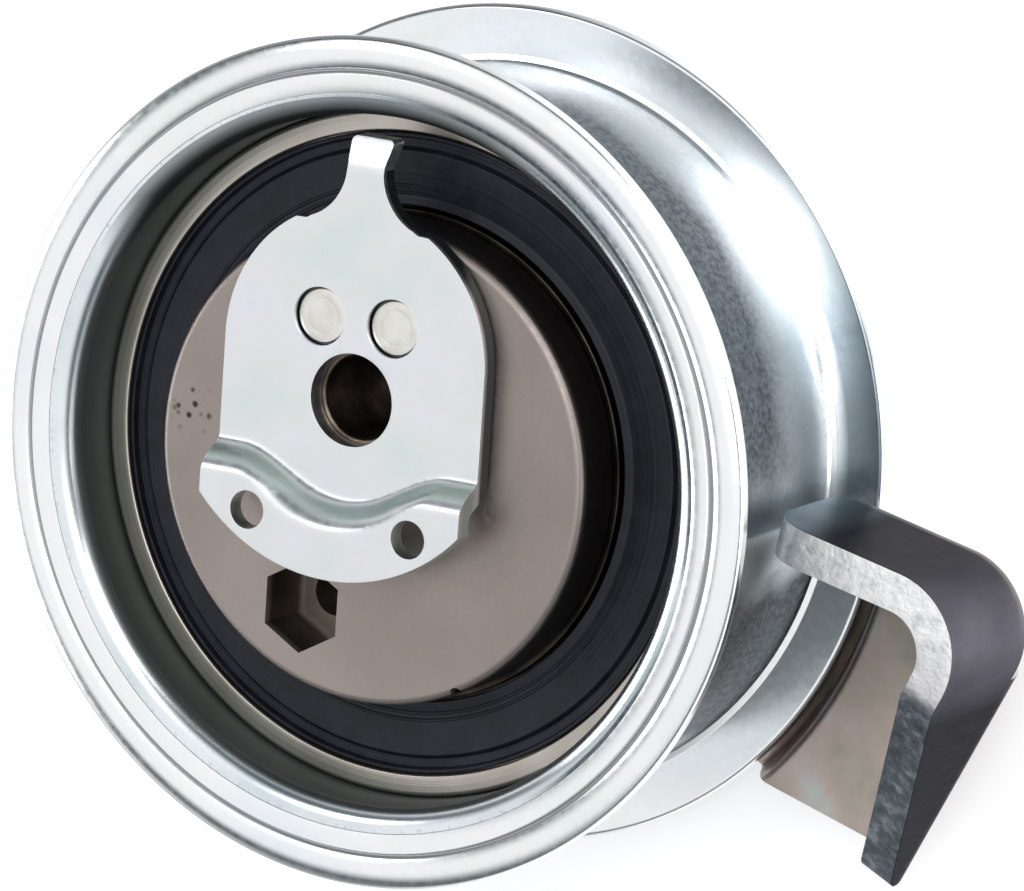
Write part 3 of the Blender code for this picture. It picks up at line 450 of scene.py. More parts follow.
on_hook = add(tree, "ShaderNodeMapRange", {
    "Value": across.outputs["Value"], "From Min": 0.0535, "From Max": 0.0590,
    "To Min": 0.0, "To Max": 1.0,
})
height = add(tree, "ShaderNodeSeparateXYZ", {"Vector": place})
raised = add(tree, "ShaderNodeMapRange", {
    "Value": height.outputs["Z"], "From Min": 0.0084, "From Max": 0.0100,
    "To Min": 0.0, "To Max": 1.0,
})
either = add(tree, "ShaderNodeMath", {
    0: on_hook.outputs["Result"], 1: raised.outputs["Result"],
}, operation="MAXIMUM")
tone = add(tree, "ShaderNodeMix", {
    "Factor": either.outputs["Value"], 6: arm_tone, 7: hook_tone,
}, data_type="RGBA")
tree.links.new(tone.outputs[2], shader.inputs["Base Color"])
shader.inputs["Metallic"].default_value = 1.0
# The hook's painted dark reflection also dims its specular tint.
glance = add(tree, "ShaderNodeMix", {
    "Factor": either.outputs["Value"], 6: linear("#ffffff"), 7: linear("#cdcdd1"),
}, data_type="RGBA")
tree.links.new(glance.outputs[2], shader.inputs["Specular Tint"])
gloss = add(tree, "ShaderNodeMapRange", {
    "Value": lines.outputs["Fac"], "From Min": 0.3, "From Max": 0.7, "To Min": 0.34, "To Max": 0.40,
})
tree.links.new(gloss.outputs["Result"], shader.inputs["Roughness"])
bump = add(tree, "ShaderNodeBump", {
    "Height": lines.outputs["Fac"], "Strength": 0.05, "Distance": 0.0002,
})
tree.links.new(bump.outputs["Normal"], shader.inputs["Normal"])

# Sheared steel edge: torn and bright with a coarse break 0.5 mm across. Where the hook's edge is
# tapered it is painted as dark as the hook on the wall, a painted shade, with bright burrs.
sheared_steel, tree, shader, place = surface("sheared_steel_edge")
grit = add(tree, "ShaderNodeTexNoise", {"Vector": place, "Scale": 1100.0, "Detail": 4.0})
patch = add(tree, "ShaderNodeTexNoise", {"Vector": place, "Scale": 650.0, "Detail": 4.0})
bright = add(tree, "ShaderNodeValToRGB", {"Fac": patch.outputs["Fac"]}, stops=[
    (0.28, "#cfd0d3"), (0.42, "#f0f0f1"), (0.56, "#fafafa"),
]).outputs["Color"]
dull = add(tree, "ShaderNodeValToRGB", {"Fac": patch.outputs["Fac"]}, stops=[
    (0.30, "#41484e"), (0.52, "#596067"), (0.68, "#7f868c"),
]).outputs["Color"]
along = add(tree, "ShaderNodeVectorMath", {
    0: place, 1: (-sin(HOOK_LEAN), -cos(HOOK_LEAN), 0.0),
}, operation="DOT_PRODUCT")
towards_notch = add(tree, "ShaderNodeMapRange", {
    "Value": along.outputs["Value"], "From Min": TAPER_START - 0.0080, "From Max": TAPER_START,
    "To Min": 0.0, "To Max": 0.7,
})
bright = add(tree, "ShaderNodeMix", {
    "Factor": towards_notch.outputs["Result"], 6: bright, 7: linear("#b6b5ba"),
}, data_type="RGBA").outputs[2]
tapered = add(tree, "ShaderNodeMapRange", {
    "Value": along.outputs["Value"], "From Min": TAPER_START - 0.0012,
    "From Max": TAPER_START + 0.0003, "To Min": 0.0, "To Max": 1.0,
})
raised = add(tree, "ShaderNodeSeparateXYZ", {"Vector": place})
on_wall = add(tree, "ShaderNodeMath", {
    0: raised.outputs["Z"], 1: 0.0095,
}, operation="GREATER_THAN")
# Painted shade: the tapered edge on the wall is painted as dark as the hook.
dark = add(tree, "ShaderNodeMath", {
    0: tapered.outputs["Result"], 1: on_wall.outputs["Value"],
}, operation="MULTIPLY")
tone = add(tree, "ShaderNodeMix", {
    "Factor": dark.outputs["Value"], 6: bright, 7: dull,
}, data_type="RGBA")
tree.links.new(tone.outputs[2], shader.inputs["Base Color"])
shader.inputs["Metallic"].default_value = 1.0
shader.inputs["Roughness"].default_value = 0.48
bump = add(tree, "ShaderNodeBump", {
    "Height": grit.outputs["Fac"], "Strength": 0.5, "Distance": 0.0003,
})
tree.links.new(bump.outputs["Normal"], shader.inputs["Normal"])

base_plate = new_object("base_plate_strip", base_plate_body(), rolled_steel, sheared_steel)
spigot_cut = cut_out(base_plate, new_object("spigot_cut", solid_turned([
    (0.0, -0.004), (SPIGOT_HOLE + SPIGOT_FLARE, -0.004), (SPIGOT_HOLE + SPIGOT_FLARE, 0.0),
    (SPIGOT_HOLE, SWAGE_DEPTH), (SPIGOT_HOLE, 0.008), (0.0, 0.008),
], 96, STUD), rolled_steel))
leg_cut = drilled(base_plate, LEG_HOLE, -0.004, 0.008, 48, LEG_HOLE_PLACE)
soft_edges(base_plate, 0.00028)
flat_faces(base_plate, spigot_cut, leg_cut)
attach(base_plate, "base")
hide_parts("base_plate")

# Rear thrust washer: a moulded acetal ring between the plate and the adjusting eccentric.
# Glass-filled and off-black, with a dull moulded skin.
WASHER_INNER = 0.0075
WASHER_OUTER = 0.0112
WASHER_LOW = 0.00415
WASHER_THICK = 0.0009

acetal, tree, shader, place = surface("moulded_acetal")
skin = add(tree, "ShaderNodeTexNoise", {"Vector": place, "Scale": 900.0, "Detail": 3.0})
tree.links.new(
    add(tree, "ShaderNodeValToRGB", {"Fac": skin.outputs["Fac"]}, stops=[
        (0.35, "#34332f"), (0.65, "#45443e"),
    ]).outputs["Color"],
    shader.inputs["Base Color"],
)
shader.inputs["Roughness"].default_value = 0.48
bump = add(tree, "ShaderNodeBump", {
    "Height": skin.outputs["Fac"], "Strength": 0.15, "Distance": 0.0001,
})
tree.links.new(bump.outputs["Normal"], shader.inputs["Normal"])


def turned(corners, steps):
    """A closed ring about Z from the (radius, height, rounding) corners of its section, each
    about the pulley's axis unless it ends with its own centre."""
    rows = []
    for i, (r, z, ease, *own) in enumerate(corners):
        centre = own[0] if own else (0.0, 0.0)
        points = [(r, z)]
        if ease > 0.0:
            before, after = corners[i - 1], corners[(i + 1) % len(corners)]
            points = fillet(before[:2], (r, z), after[:2], ease, max(4, round(ease / 0.00016)))
        rows += [(*point, centre) for point in points]
    body = bmesh.new()
    walls(body, rows, steps, True)
    return body


def washer(inner, outer, low, back_ease, centre):
    """A flat ring with rounded edges; the one at its outer back differs."""
    high = low + WASHER_THICK
    return turned([
        (inner, low, 0.00015, centre), (outer, low, back_ease, centre),
        (outer, high, 0.00025, centre), (inner, high, 0.00015, centre),
    ], 96)


rear_body = washer(WASHER_INNER, WASHER_OUTER, WASHER_LOW, 0.00025, STUD)
rear_washer = new_object("rear_thrust_ring", rear_body, acetal)
flat_faces(rear_washer)
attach(rear_washer, "base")
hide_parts("rear_thrust_washer")

# Torsion spring: 2.8 mm oil-tempered wire, one and three quarter turns behind the hub. Its back
# end turns into the plate; the front end stops under the hub, so that the hub can swing over it.
# The wire is dark blue-grey with fine drawing lines along it.
WIRE_RADIUS = 0.0014
COIL_RADIUS = 0.0164
COIL_TURNS = 1.75
COIL_FRONT = radians(-45.0)
COIL_POINTS = 74
COIL_LOW = 0.00555
COIL_HIGH = 0.01115
LEG_LOW = 0.0009

spring_steel, tree, shader, place = surface("oil_tempered_wire")
drawn = add(tree, "ShaderNodeTexNoise", {"Vector": place, "Scale": 1100.0, "Detail": 3.0})
tree.links.new(
    add(tree, "ShaderNodeValToRGB", {"Fac": drawn.outputs["Fac"]}, stops=[
        (0.35, "#3a3d42"), (0.65, "#5a5f66"),
    ]).outputs["Color"],
    shader.inputs["Base Color"],
)
shader.inputs["Metallic"].default_value = 1.0
shader.inputs["Roughness"].default_value = 0.38
bump = add(tree, "ShaderNodeBump", {
    "Height": drawn.outputs["Fac"], "Strength": 0.15, "Distance": 0.0001,
})
tree.links.new(bump.outputs["Normal"], shader.inputs["Normal"])


def new_modifier(name, inputs):
    """An empty object with a Geometry Nodes tree and its named inputs, ready for its nodes."""
    group = bpy.data.node_groups.new(name, "GeometryNodeTree")
    group.interface.new_socket("Geometry", in_out="OUTPUT", socket_type="NodeSocketGeometry")
    values = {}
    for label, value in inputs.items():
        kind = "NodeSocketInt" if isinstance(value, int) else "NodeSocketFloat"
        socket = group.interface.new_socket(label, in_out="INPUT", socket_type=kind)
        values[socket.identifier] = value
    holder = placed(name, bpy.data.meshes.new(name))
    step = holder.modifiers.new(name, "NODES")
    step.node_group = group
    for identifier, value in values.items():
        step[identifier] = value
    source = group.nodes.new("NodeGroupInput").outputs
    return holder, group, source, group.nodes.new("NodeGroupOutput")


coil, tree, given, result = new_modifier("torsion_coil", {
    "Points": COIL_POINTS, "Wire Radius": WIRE_RADIUS, "Coil Radius": COIL_RADIUS,
    "Turns": COIL_TURNS, "Low": COIL_LOW, "High": COIL_HIGH,
})
line = add(tree, "GeometryNodeMeshLine", {"Count": given["Points"]})
number = add(tree, "GeometryNodeInputIndex").outputs["Index"]
share = add(tree, "ShaderNodeMapRange", {
    "Value": number, "From Min": 1.0, "From Max": COIL_POINTS - 1.0, "To Min": 0.0, "To Max": 1.0,
})
whole = add(tree, "ShaderNodeMath", {0: given["Turns"], 1: 2 * pi}, operation="MULTIPLY")
back = add(tree, "ShaderNodeMath", {
    0: share.outputs["Result"], 1: 1.0,
}, operation="SUBTRACT")
turn = add(tree, "ShaderNodeMath", {
    0: back.outputs["Value"], 1: whole.outputs["Value"], 2: COIL_FRONT,
}, operation="MULTIPLY_ADD")
east = add(tree, "ShaderNodeMath", {0: turn.outputs["Value"]}, operation="COSINE")
north = add(tree, "ShaderNodeMath", {0: turn.outputs["Value"]}, operation="SINE")
round_place = add(tree, "ShaderNodeCombineXYZ", {
    "X": east.outputs["Value"], "Y": north.outputs["Value"],
})
in_plan = add(tree, "ShaderNodeVectorMath", {
    0: round_place.outputs["Vector"], "Scale": given["Coil Radius"],
}, operation="SCALE")
climb = add(tree, "ShaderNodeMapRange", {
    "Value": share.outputs["Result"], "To Min": given["Low"], "To Max": given["High"],
})
is_first = add(tree, "ShaderNodeMath", {0: number, 1: 0.5}, operation="LESS_THAN")
legs = add(tree, "ShaderNodeMath", {
    0: is_first.outputs["Value"], 1: LEG_LOW - COIL_LOW, 2: climb.outputs["Result"],
}, operation="MULTIPLY_ADD")
level = add(tree, "ShaderNodeCombineXYZ", {
    "X": SWING.x, "Y": SWING.y, "Z": legs.outputs["Value"],
})
spot = add(tree, "ShaderNodeVectorMath", {
    0: in_plan.outputs["Vector"], 1: level.outputs["Vector"],
}, operation="ADD")
laid = add(tree, "GeometryNodeSetPosition", {
    "Geometry": line.outputs["Mesh"], "Position": spot.outputs["Vector"],
})
path = add(tree, "GeometryNodeMeshToCurve", {"Mesh": laid.outputs["Geometry"]})
bent = add(tree, "GeometryNodeFilletCurve", {"Curve": path.outputs["Curve"], "Radius": 0.0022})
bent.inputs["Limit Radius"].default_value = True
wire = add(tree, "GeometryNodeCurvePrimitiveCircle", {
    "Resolution": 20, "Radius": given["Wire Radius"],
})
tube = add(tree, "GeometryNodeCurveToMesh", {
    "Curve": bent.outputs["Curve"], "Profile Curve": wire.outputs["Curve"], "Fill Caps": True,
})
soft = add(tree, "GeometryNodeSetShadeSmooth", {"Geometry": tube.outputs["Mesh"]})
real = add(tree, "GeometryNodeRealizeInstances", {"Geometry": soft.outputs["Geometry"]})
coat = add(tree, "GeometryNodeSetMaterial", {
    "Geometry": real.outputs["Geometry"], "Material": spring_steel,
})
tree.links.new(coat.outputs["Geometry"], result.inputs["Geometry"])
settled(coil)
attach(coil, "base")
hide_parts("torsion_spring")

# Adjusting eccentric: a sintered steel bush that turns on the stud. Its spigot passes the base
# plate and is swaged over behind it; the bore keeps a dark oily skin from the press.
ADJUSTER_RADIUS = 0.0104
ADJUSTER_BACK = 0.0053
ADJUSTER_FRONT = 0.03475
SPIGOT_RADIUS = 0.0070
BORE_RADIUS = 0.0042

sintered_steel, tree, shader, place = surface("sintered_steel_bush")
pores = add(tree, "ShaderNodeTexNoise", {"Vector": place, "Scale": 1500.0, "Detail": 4.0})
patch = add(tree, "ShaderNodeTexNoise", {"Vector": place, "Scale": 260.0, "Detail": 3.0})
tree.links.new(
    add(tree, "ShaderNodeValToRGB", {"Fac": patch.outputs["Fac"]}, stops=[
        (0.32, "#4a4038"), (0.52, "#75685c"), (0.70, "#a4988a"),
    ]).outputs["Color"],
    shader.inputs["Base Color"],
)
shader.inputs["Metallic"].default_value = 1.0
shader.inputs["Roughness"].default_value = 0.36
bump = add(tree, "ShaderNodeBump", {
    "Height": pores.outputs["Fac"], "Strength": 0.3, "Distance": 0.0001,
})
tree.links.new(bump.outputs["Normal"], shader.inputs["Normal"])
adjuster = new_object("adjusting_bush", turned([
    (BORE_RADIUS, 0.0, 0.0003, STUD),
    (SPIGOT_RADIUS + 0.0013, 0.0, 0.0003, STUD),
    (SPIGOT_RADIUS, 0.0014, 0.0002, STUD),
    (SPIGOT_RADIUS, ADJUSTER_BACK, 0.0, STUD),
    (ADJUSTER_RADIUS, ADJUSTER_BACK, 0.0, SWING),
    (ADJUSTER_RADIUS, ADJUSTER_FRONT, 0.0002, SWING),
    (BORE_RADIUS, ADJUSTER_FRONT, 0.0003, STUD),
], 128), sintered_steel)
flat_faces(adjuster)
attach(adjuster, "adjuster")
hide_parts("adjusting_eccentric")

# Working eccentric: disc and hub in one piece of sintered steel, sized in a die and faced, with
# a hex socket for the setting tool. The faced front is a warm satin grey with a few dark specks;
# the walls below it are painted dark, a painted shade in the socket and the gap round the disc.
HUB_RADIUS = 0.0225
DISC_RADIUS = 0.0239
DISC_FRONT = 0.0345
DISC_BACK = 0.02845
HUB_BACK = 0.0128
HOLE_RADIUS = 0.01145
SLIDE_SEAT = 0.01345
SLIDE_DEPTH = 0.0011
HEX_PLACE = Vector((-0.0067, -0.0154))
HEX_FLATS = 0.0081
HEX_DEPTH = 0.0070
DRAIN_RADIUS = 0.0023
DRAIN_SHIFT = Vector((-0.0003, 0.0002))
NICK_ANGLE = radians(-62.0)
NICK_RADIUS = 0.0006
SPECK_PLACE = (-0.0204, 0.0024, DISC_FRONT)

faced_steel, tree, shader, place = surface("faced_sintered_steel")
grain = add(tree, "ShaderNodeTexNoise", {"Vector": place, "Scale": 1600.0, "Detail": 3.0})
drift = add(tree, "ShaderNodeTexNoise", {"Vector": place, "Scale": 55.0, "Detail": 3.0})
tone = add(tree, "ShaderNodeValToRGB", {"Fac": drift.outputs["Fac"]}, stops=[
    (0.32, "#928985"), (0.68, "#a09691"),
]).outputs["Color"]
specks = add(tree, "ShaderNodeTexVoronoi", {"Vector": place, "Scale": 900.0})
tiny = add(tree, "ShaderNodeMapRange", {
    "Value": specks.outputs["Distance"], "From Min": 0.18, "From Max": 0.36,
    "To Min": 1.0, "To Max": 0.0,
})
from_spot = add(tree, "ShaderNodeVectorMath", {
    0: place, 1: SPECK_PLACE,
}, operation="DISTANCE")
where = add(tree, "ShaderNodeMapRange", {
    "Value": from_spot.outputs["Value"], "From Min": 0.0016, "From Max": 0.0030,
    "To Min": 1.0, "To Max": 0.0,
})
both = add(tree, "ShaderNodeMath", {
    0: tiny.outputs["Result"], 1: where.outputs["Result"],
}, operation="MULTIPLY")
dirty = add(tree, "ShaderNodeMix", {
    "Factor": both.outputs["Value"], 6: tone, 7: linear("#3f3a38"),
}, data_type="RGBA")
level = add(tree, "ShaderNodeSeparateXYZ", {"Vector": place})
skin = add(tree, "ShaderNodeMapRange", {
    "Value": level.outputs["Z"], "From Min": DISC_FRONT - 0.0012, "From Max": DISC_FRONT - 0.0004,
    "To Min": 1.0, "To Max": 0.0,
})
in_plan = add(tree, "ShaderNodeCombineXYZ", {
    "X": level.outputs["X"], "Y": level.outputs["Y"], "Z": 0.0,
})
reach = add(tree, "ShaderNodeVectorMath", {0: in_plan.outputs["Vector"]}, operation="LENGTH")
outer_wall = add(tree, "ShaderNodeMapRange", {
    "Value": reach.outputs["Value"], "From Min": 0.0225, "From Max": 0.0232,
})
on_floor = add(tree, "ShaderNodeMapRange", {
    "Value": level.outputs["Z"], "From Min": DISC_FRONT - HEX_DEPTH + 0.0001,
    "From Max": DISC_FRONT - HEX_DEPTH + 0.0010, "To Min": 1.0, "To Max": 0.0,
})
# Painted shade: the socket's walls are dark brown above a lighter floor, and the disc's rim is
# dark.
socket = add(tree, "ShaderNodeMix", {
    "Factor": on_floor.outputs["Result"], 6: linear("#4f4843"), 7: linear("#a39a92"),
}, data_type="RGBA")
wall_tone = add(tree, "ShaderNodeMix", {
    "Factor": outer_wall.outputs["Result"], 6: socket.outputs[2], 7: linear("#45403d"),
}, data_type="RGBA")
whole = add(tree, "ShaderNodeMix", {
    "Factor": skin.outputs["Result"], 6: dirty.outputs[2], 7: wall_tone.outputs[2],
}, data_type="RGBA")
tree.links.new(whole.outputs[2], shader.inputs["Base Color"])
shader.inputs["Metallic"].default_value = 1.0
gloss = add(tree, "ShaderNodeMapRange", {
    "Value": grain.outputs["Fac"], "From Min": 0.3, "From Max": 0.7, "To Min": 0.40, "To Max": 0.52,
})
tree.links.new(gloss.outputs["Result"], shader.inputs["Roughness"])
bump = add(tree, "ShaderNodeBump", {
    "Height": grain.outputs["Fac"], "Strength": 0.10, "Distance": 0.0001,
})
tree.links.new(bump.outputs["Normal"], shader.inputs["Normal"])
swinger = new_object("working_disc", turned([
    (HOLE_RADIUS, HUB_BACK, 0.0003, SWING),
    (HUB_RADIUS, HUB_BACK, 0.0005),
    (HUB_RADIUS, DISC_BACK, 0.0),
    (DISC_RADIUS, DISC_BACK, 0.0002),
    (DISC_RADIUS, DISC_FRONT, 0.0008),
    (SLIDE_SEAT, DISC_FRONT, 0.0002, SWING),
    (SLIDE_SEAT, DISC_FRONT - SLIDE_DEPTH, 0.0, SWING),
    (HOLE_RADIUS, DISC_FRONT - SLIDE_DEPTH, 0.0, SWING),
], 192), faced_steel)


def prism(points, low, height):
    """A closed upright block on an outline in plan."""
    body = bmesh.new()
    face = body.faces.new([body.verts.new((x, y, low)) for x, y in points])
    made = bmesh.ops.extrude_face_region(body, geom=[face])["geom"]
    top = [v for v in made if isinstance(v, bmesh.types.BMVert)]
    bmesh.ops.translate(body, verts=top, vec=(0, 0, height))
    return body


corners = arc(HEX_PLACE, HEX_FLATS / 2 / cos(pi / 6), pi / 6, pi / 6 + 2 * pi, 6)[:-1]
hexagon = prism(corners, DISC_FRONT - HEX_DEPTH, 0.010)
hex_cut = cut_out(swinger, new_object("hex_cut", hexagon, faced_steel))
drain_cut = drilled(swinger, DRAIN_RADIUS, 0.010, 0.031, 48, HEX_PLACE + DRAIN_SHIFT)
nick_place = (DISC_RADIUS * cos(NICK_ANGLE), DISC_RADIUS * sin(NICK_ANGLE))
nick_cut = drilled(swinger, NICK_RADIUS, 0.026, 0.036, 16, nick_place)
flat_faces(swinger, hex_cut, drain_cut, nick_cut)
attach(swinger, "working")
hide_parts("working_eccentric")

# Plain bush: bronze-lined strip rolled round and pressed in, so its slit stays open.
# Only its ends show, with the dull gold of sintered bronze.
bronze, tree, shader, place = surface("sintered_bronze_lining")
grain = add(tree, "ShaderNodeTexNoise", {"Vector": place, "Scale": 1300.0, "Detail": 3.0})
tree.links.new(
    add(tree, "ShaderNodeValToRGB", {"Fac": grain.outputs["Fac"]}, stops=[
        (0.35, "#8a6a45"), (0.65, "#b08a5c"),
    ]).outputs["Color"],
    shader.inputs["Base Color"],
)
shader.inputs["Metallic"].default_value = 1.0
shader.inputs["Roughness"].default_value = 0.42
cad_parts["plain_bush"].data.materials.clear()
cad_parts["plain_bush"].data.materials.append(bronze)

# Front slide washer: the same moulded acetal, in the disc's recess under the pointer plate.
SLIDE_INNER = 0.01155
SLIDE_OUTER = 0.01325
SLIDE_LOW = 0.0335

slide_body = washer(SLIDE_INNER, SLIDE_OUTER, SLIDE_LOW, 0.00015, SWING)
slide_washer = new_object("front_slide_ring", slide_body, acetal)
flat_faces(slide_washer)
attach(slide_washer, "working")
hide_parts("front_slide_washer")

# Bearing rings: hardened bearing steel, ground on their faces, which leaves fine circles and a
# warm beige tint under the oil film. The outer ring sits in the drum, the inner on the hub.
BALL_PITCH = 0.0282
BALL_RADIUS = 0.0032
BEARING_FRONT = 0.0281
BEARING_BACK = 0.0131
BEARING_MIDDLE = 0.0206
RING_OUTER = 0.0341
SEAT_RADIUS = 0.0319
OUTER_LAND = 0.0304
INNER_LAND = 0.0260
RING_BORE = 0.0226
INNER_REBATE = 0.0244
SEAL_DEPTH = 0.0016

ground_steel, tree, shader, place = surface("ground_bearing_steel")
parts = add(tree, "ShaderNodeSeparateXYZ", {"Vector": place})
flat = add(tree, "ShaderNodeCombineXYZ", {
    "X": parts.outputs["X"], "Y": parts.outputs["Y"], "Z": 0.0,
})
reach = add(tree, "ShaderNodeVectorMath", {0: flat.outputs["Vector"]}, operation="LENGTH")
circles = add(tree, "ShaderNodeTexNoise", {
    "W": reach.outputs["Value"], "Scale": 5200.0, "Detail": 2.0,
}, noise_dimensions="1D")
patch = add(tree, "ShaderNodeTexNoise", {"Vector": place, "Scale": 90.0, "Detail": 3.0})
tree.links.new(
    add(tree, "ShaderNodeValToRGB", {"Fac": patch.outputs["Fac"]}, stops=[
        (0.30, "#a9a39a"), (0.52, "#bbb6ae"), (0.72, "#c6c3bd"),
    ]).outputs["Color"],
    shader.inputs["Base Color"],
)
shader.inputs["Metallic"].default_value = 1.0
shader.inputs["Roughness"].default_value = 0.34
bump = add(tree, "ShaderNodeBump", {
    "Height": circles.outputs["Fac"], "Strength": 0.25, "Distance": 0.00005,
})
tree.links.new(bump.outputs["Normal"], shader.inputs["Normal"])


def race(side, rim, rim_ease, rebate, front_ease, land, steps):
    """The inner (-1) or outer (1) ring: its rim, its rebates for the seals and the ball track."""
    track = BALL_RADIUS + 0.0002
    half = acos(0.0022 / track)
    start, end = (pi + half, pi - half) if side < 0 else (-half, half)
    low, high = BEARING_BACK + SEAL_DEPTH, BEARING_FRONT - SEAL_DEPTH
    return turned([
        (rim, BEARING_FRONT, rim_ease),
        (rim, BEARING_BACK, rim_ease),
        (rebate, BEARING_BACK, 0.0002),
        (rebate, low, 0.0),
        (land, low, 0.0002),
        *[(r, z, 0.0) for r, z in arc((BALL_PITCH, BEARING_MIDDLE), track, start, end, 10)],
        (land, high, 0.0002),
        (rebate, high, 0.0),
        (rebate, BEARING_FRONT, front_ease),
    ], steps)


# The inner ring's face lies in the gap beside the disc; it is painted dark brown, a painted shade.
oiled_race, tree, shader, place = surface("shade_painted_bearing_steel")
film = add(tree, "ShaderNodeTexNoise", {"Vector": place, "Scale": 300.0, "Detail": 3.0})
tree.links.new(
    add(tree, "ShaderNodeValToRGB", {"Fac": film.outputs["Fac"]}, stops=[
        (0.35, "#2c2926"), (0.65, "#47423c"),
    ]).outputs["Color"],
    shader.inputs["Base Color"],
)
shader.inputs["Metallic"].default_value = 1.0
shader.inputs["Roughness"].default_value = 0.36
inner_body = race(-1, RING_BORE, 0.0004, INNER_REBATE, 0.0002, INNER_LAND, 160)
inner_ring = new_object("inner_race", inner_body, oiled_race)
flat_faces(inner_ring)
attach(inner_ring, "working")
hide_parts("bearing_inner_ring")
outer_body = race(1, RING_OUTER, 0.0005, SEAT_RADIUS, 0.0003, OUTER_LAND, 192)
outer_ring = new_object("outer_race", outer_body, ground_steel)
flat_faces(outer_ring)
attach(outer_ring, "pulley")
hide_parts("bearing_outer_ring")

# Balls: twelve hardened chrome steel balls, lapped to a mirror.
# A film of grease breaks up the mirror in places.
BALL_COUNT = 12

lapped_steel, tree, shader, place = surface("lapped_chrome_steel")
film = add(tree, "ShaderNodeTexNoise", {"Vector": place, "Scale": 700.0, "Detail": 3.0})
tree.links.new(
    add(tree, "ShaderNodeValToRGB", {"Fac": film.outputs["Fac"]}, stops=[
        (0.4, "#c4c6c8"), (0.6, "#d6d8da"),
    ]).outputs["Color"],
    shader.inputs["Base Color"],
)
shader.inputs["Metallic"].default_value = 1.0
gloss = add(tree, "ShaderNodeMapRange", {
    "Value": film.outputs["Fac"], "From Min": 0.45, "From Max": 0.6, "To Min": 0.06, "To Max": 0.2,
})
tree.links.new(gloss.outputs["Result"], shader.inputs["Roughness"])
balls, tree, given, result = new_modifier("bearing_balls", {
    "Count": BALL_COUNT, "Pitch Radius": BALL_PITCH, "Ball Radius": BALL_RADIUS,
    "Height": BEARING_MIDDLE,
})
circle = add(tree, "GeometryNodeMeshCircle", {
    "Vertices": given["Count"], "Radius": given["Pitch Radius"],
})
up = add(tree, "ShaderNodeCombineXYZ", {"Z": given["Height"]})
lifted = add(tree, "GeometryNodeSetPosition", {
    "Geometry": circle.outputs["Mesh"], "Offset": up.outputs["Vector"],
})
ball = add(tree, "GeometryNodeMeshUVSphere", {
    "Segments": 32, "Rings": 16, "Radius": given["Ball Radius"],
})
soft = add(tree, "GeometryNodeSetShadeSmooth", {"Geometry": ball.outputs["Mesh"]})
spread = add(tree, "GeometryNodeInstanceOnPoints", {
    "Points": lifted.outputs["Geometry"], "Instance": soft.outputs["Geometry"],
})
real = add(tree, "GeometryNodeRealizeInstances", {"Geometry": spread.outputs["Instances"]})
coat = add(tree, "GeometryNodeSetMaterial", {
    "Geometry": real.outputs["Geometry"], "Material": lapped_steel,
})
tree.links.new(coat.outputs["Geometry"], result.inputs["Geometry"])
settled(balls)
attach(balls, "balls")
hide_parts(*[f"ball_{i:02d}" for i in range(1, BALL_COUNT + 1)])

# Cage: a moulded nylon crown that keeps the balls apart, hidden between the seals.
# Natural brown-black with a moulded skin.
nylon, tree, shader, place = surface("moulded_nylon")
skin = add(tree, "ShaderNodeTexNoise", {"Vector": place, "Scale": 800.0, "Detail": 3.0})
tree.links.new(
    add(tree, "ShaderNodeValToRGB", {"Fac": skin.outputs["Fac"]}, stops=[
        (0.35, "#3b352c"), (0.65, "#4d463b"),
    ]).outputs["Color"],
    shader.inputs["Base Color"],
)
shader.inputs["Roughness"].default_value = 0.5
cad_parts["ball_cage"].data.materials.clear()
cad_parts["ball_cage"].data.materials.append(nylon)

# Seals: nitrile rubber moulded on a steel ring, one in each face of the bearing. Nearly black
# with a blue cast, a satin skin and moulded ribs round the lip.
SEAL_OUTER = 0.0318
SEAL_LIP = 0.02465
SEAL_SINK = 0.0003
SEAL_THICK = 0.0012

nitrile, tree, shader, place = surface("moulded_nitrile_rubber")
parts = add(tree, "ShaderNodeSeparateXYZ", {"Vector": place})
flat = add(tree, "ShaderNodeCombineXYZ", {
    "X": parts.outputs["X"], "Y": parts.outputs["Y"], "Z": 0.0,
})
reach = add(tree, "ShaderNodeVectorMath", {0: flat.outputs["Vector"]}, operation="LENGTH")
dust = add(tree, "ShaderNodeTexNoise", {"Vector": place, "Scale": 420.0, "Detail": 4.0})
tree.links.new(
    add(tree, "ShaderNodeValToRGB", {"Fac": dust.outputs["Fac"]}, stops=[
        (0.35, "#12141d"), (0.65, "#1e212c"),
    ]).outputs["Color"],
    shader.inputs["Base Color"],
)
shader.inputs["Roughness"].default_value = 0.46
shader.inputs["Specular IOR Level"].default_value = 0.35
circles = add(tree, "ShaderNodeTexNoise", {
    "W": reach.outputs["Value"], "Scale": 2600.0, "Detail": 1.0,
}, noise_dimensions="1D")
bump = add(tree, "ShaderNodeBump", {
    "Height": circles.outputs["Fac"], "Strength": 0.25, "Distance": 0.0001,
})
tree.links.new(bump.outputs["Normal"], shader.inputs["Normal"])
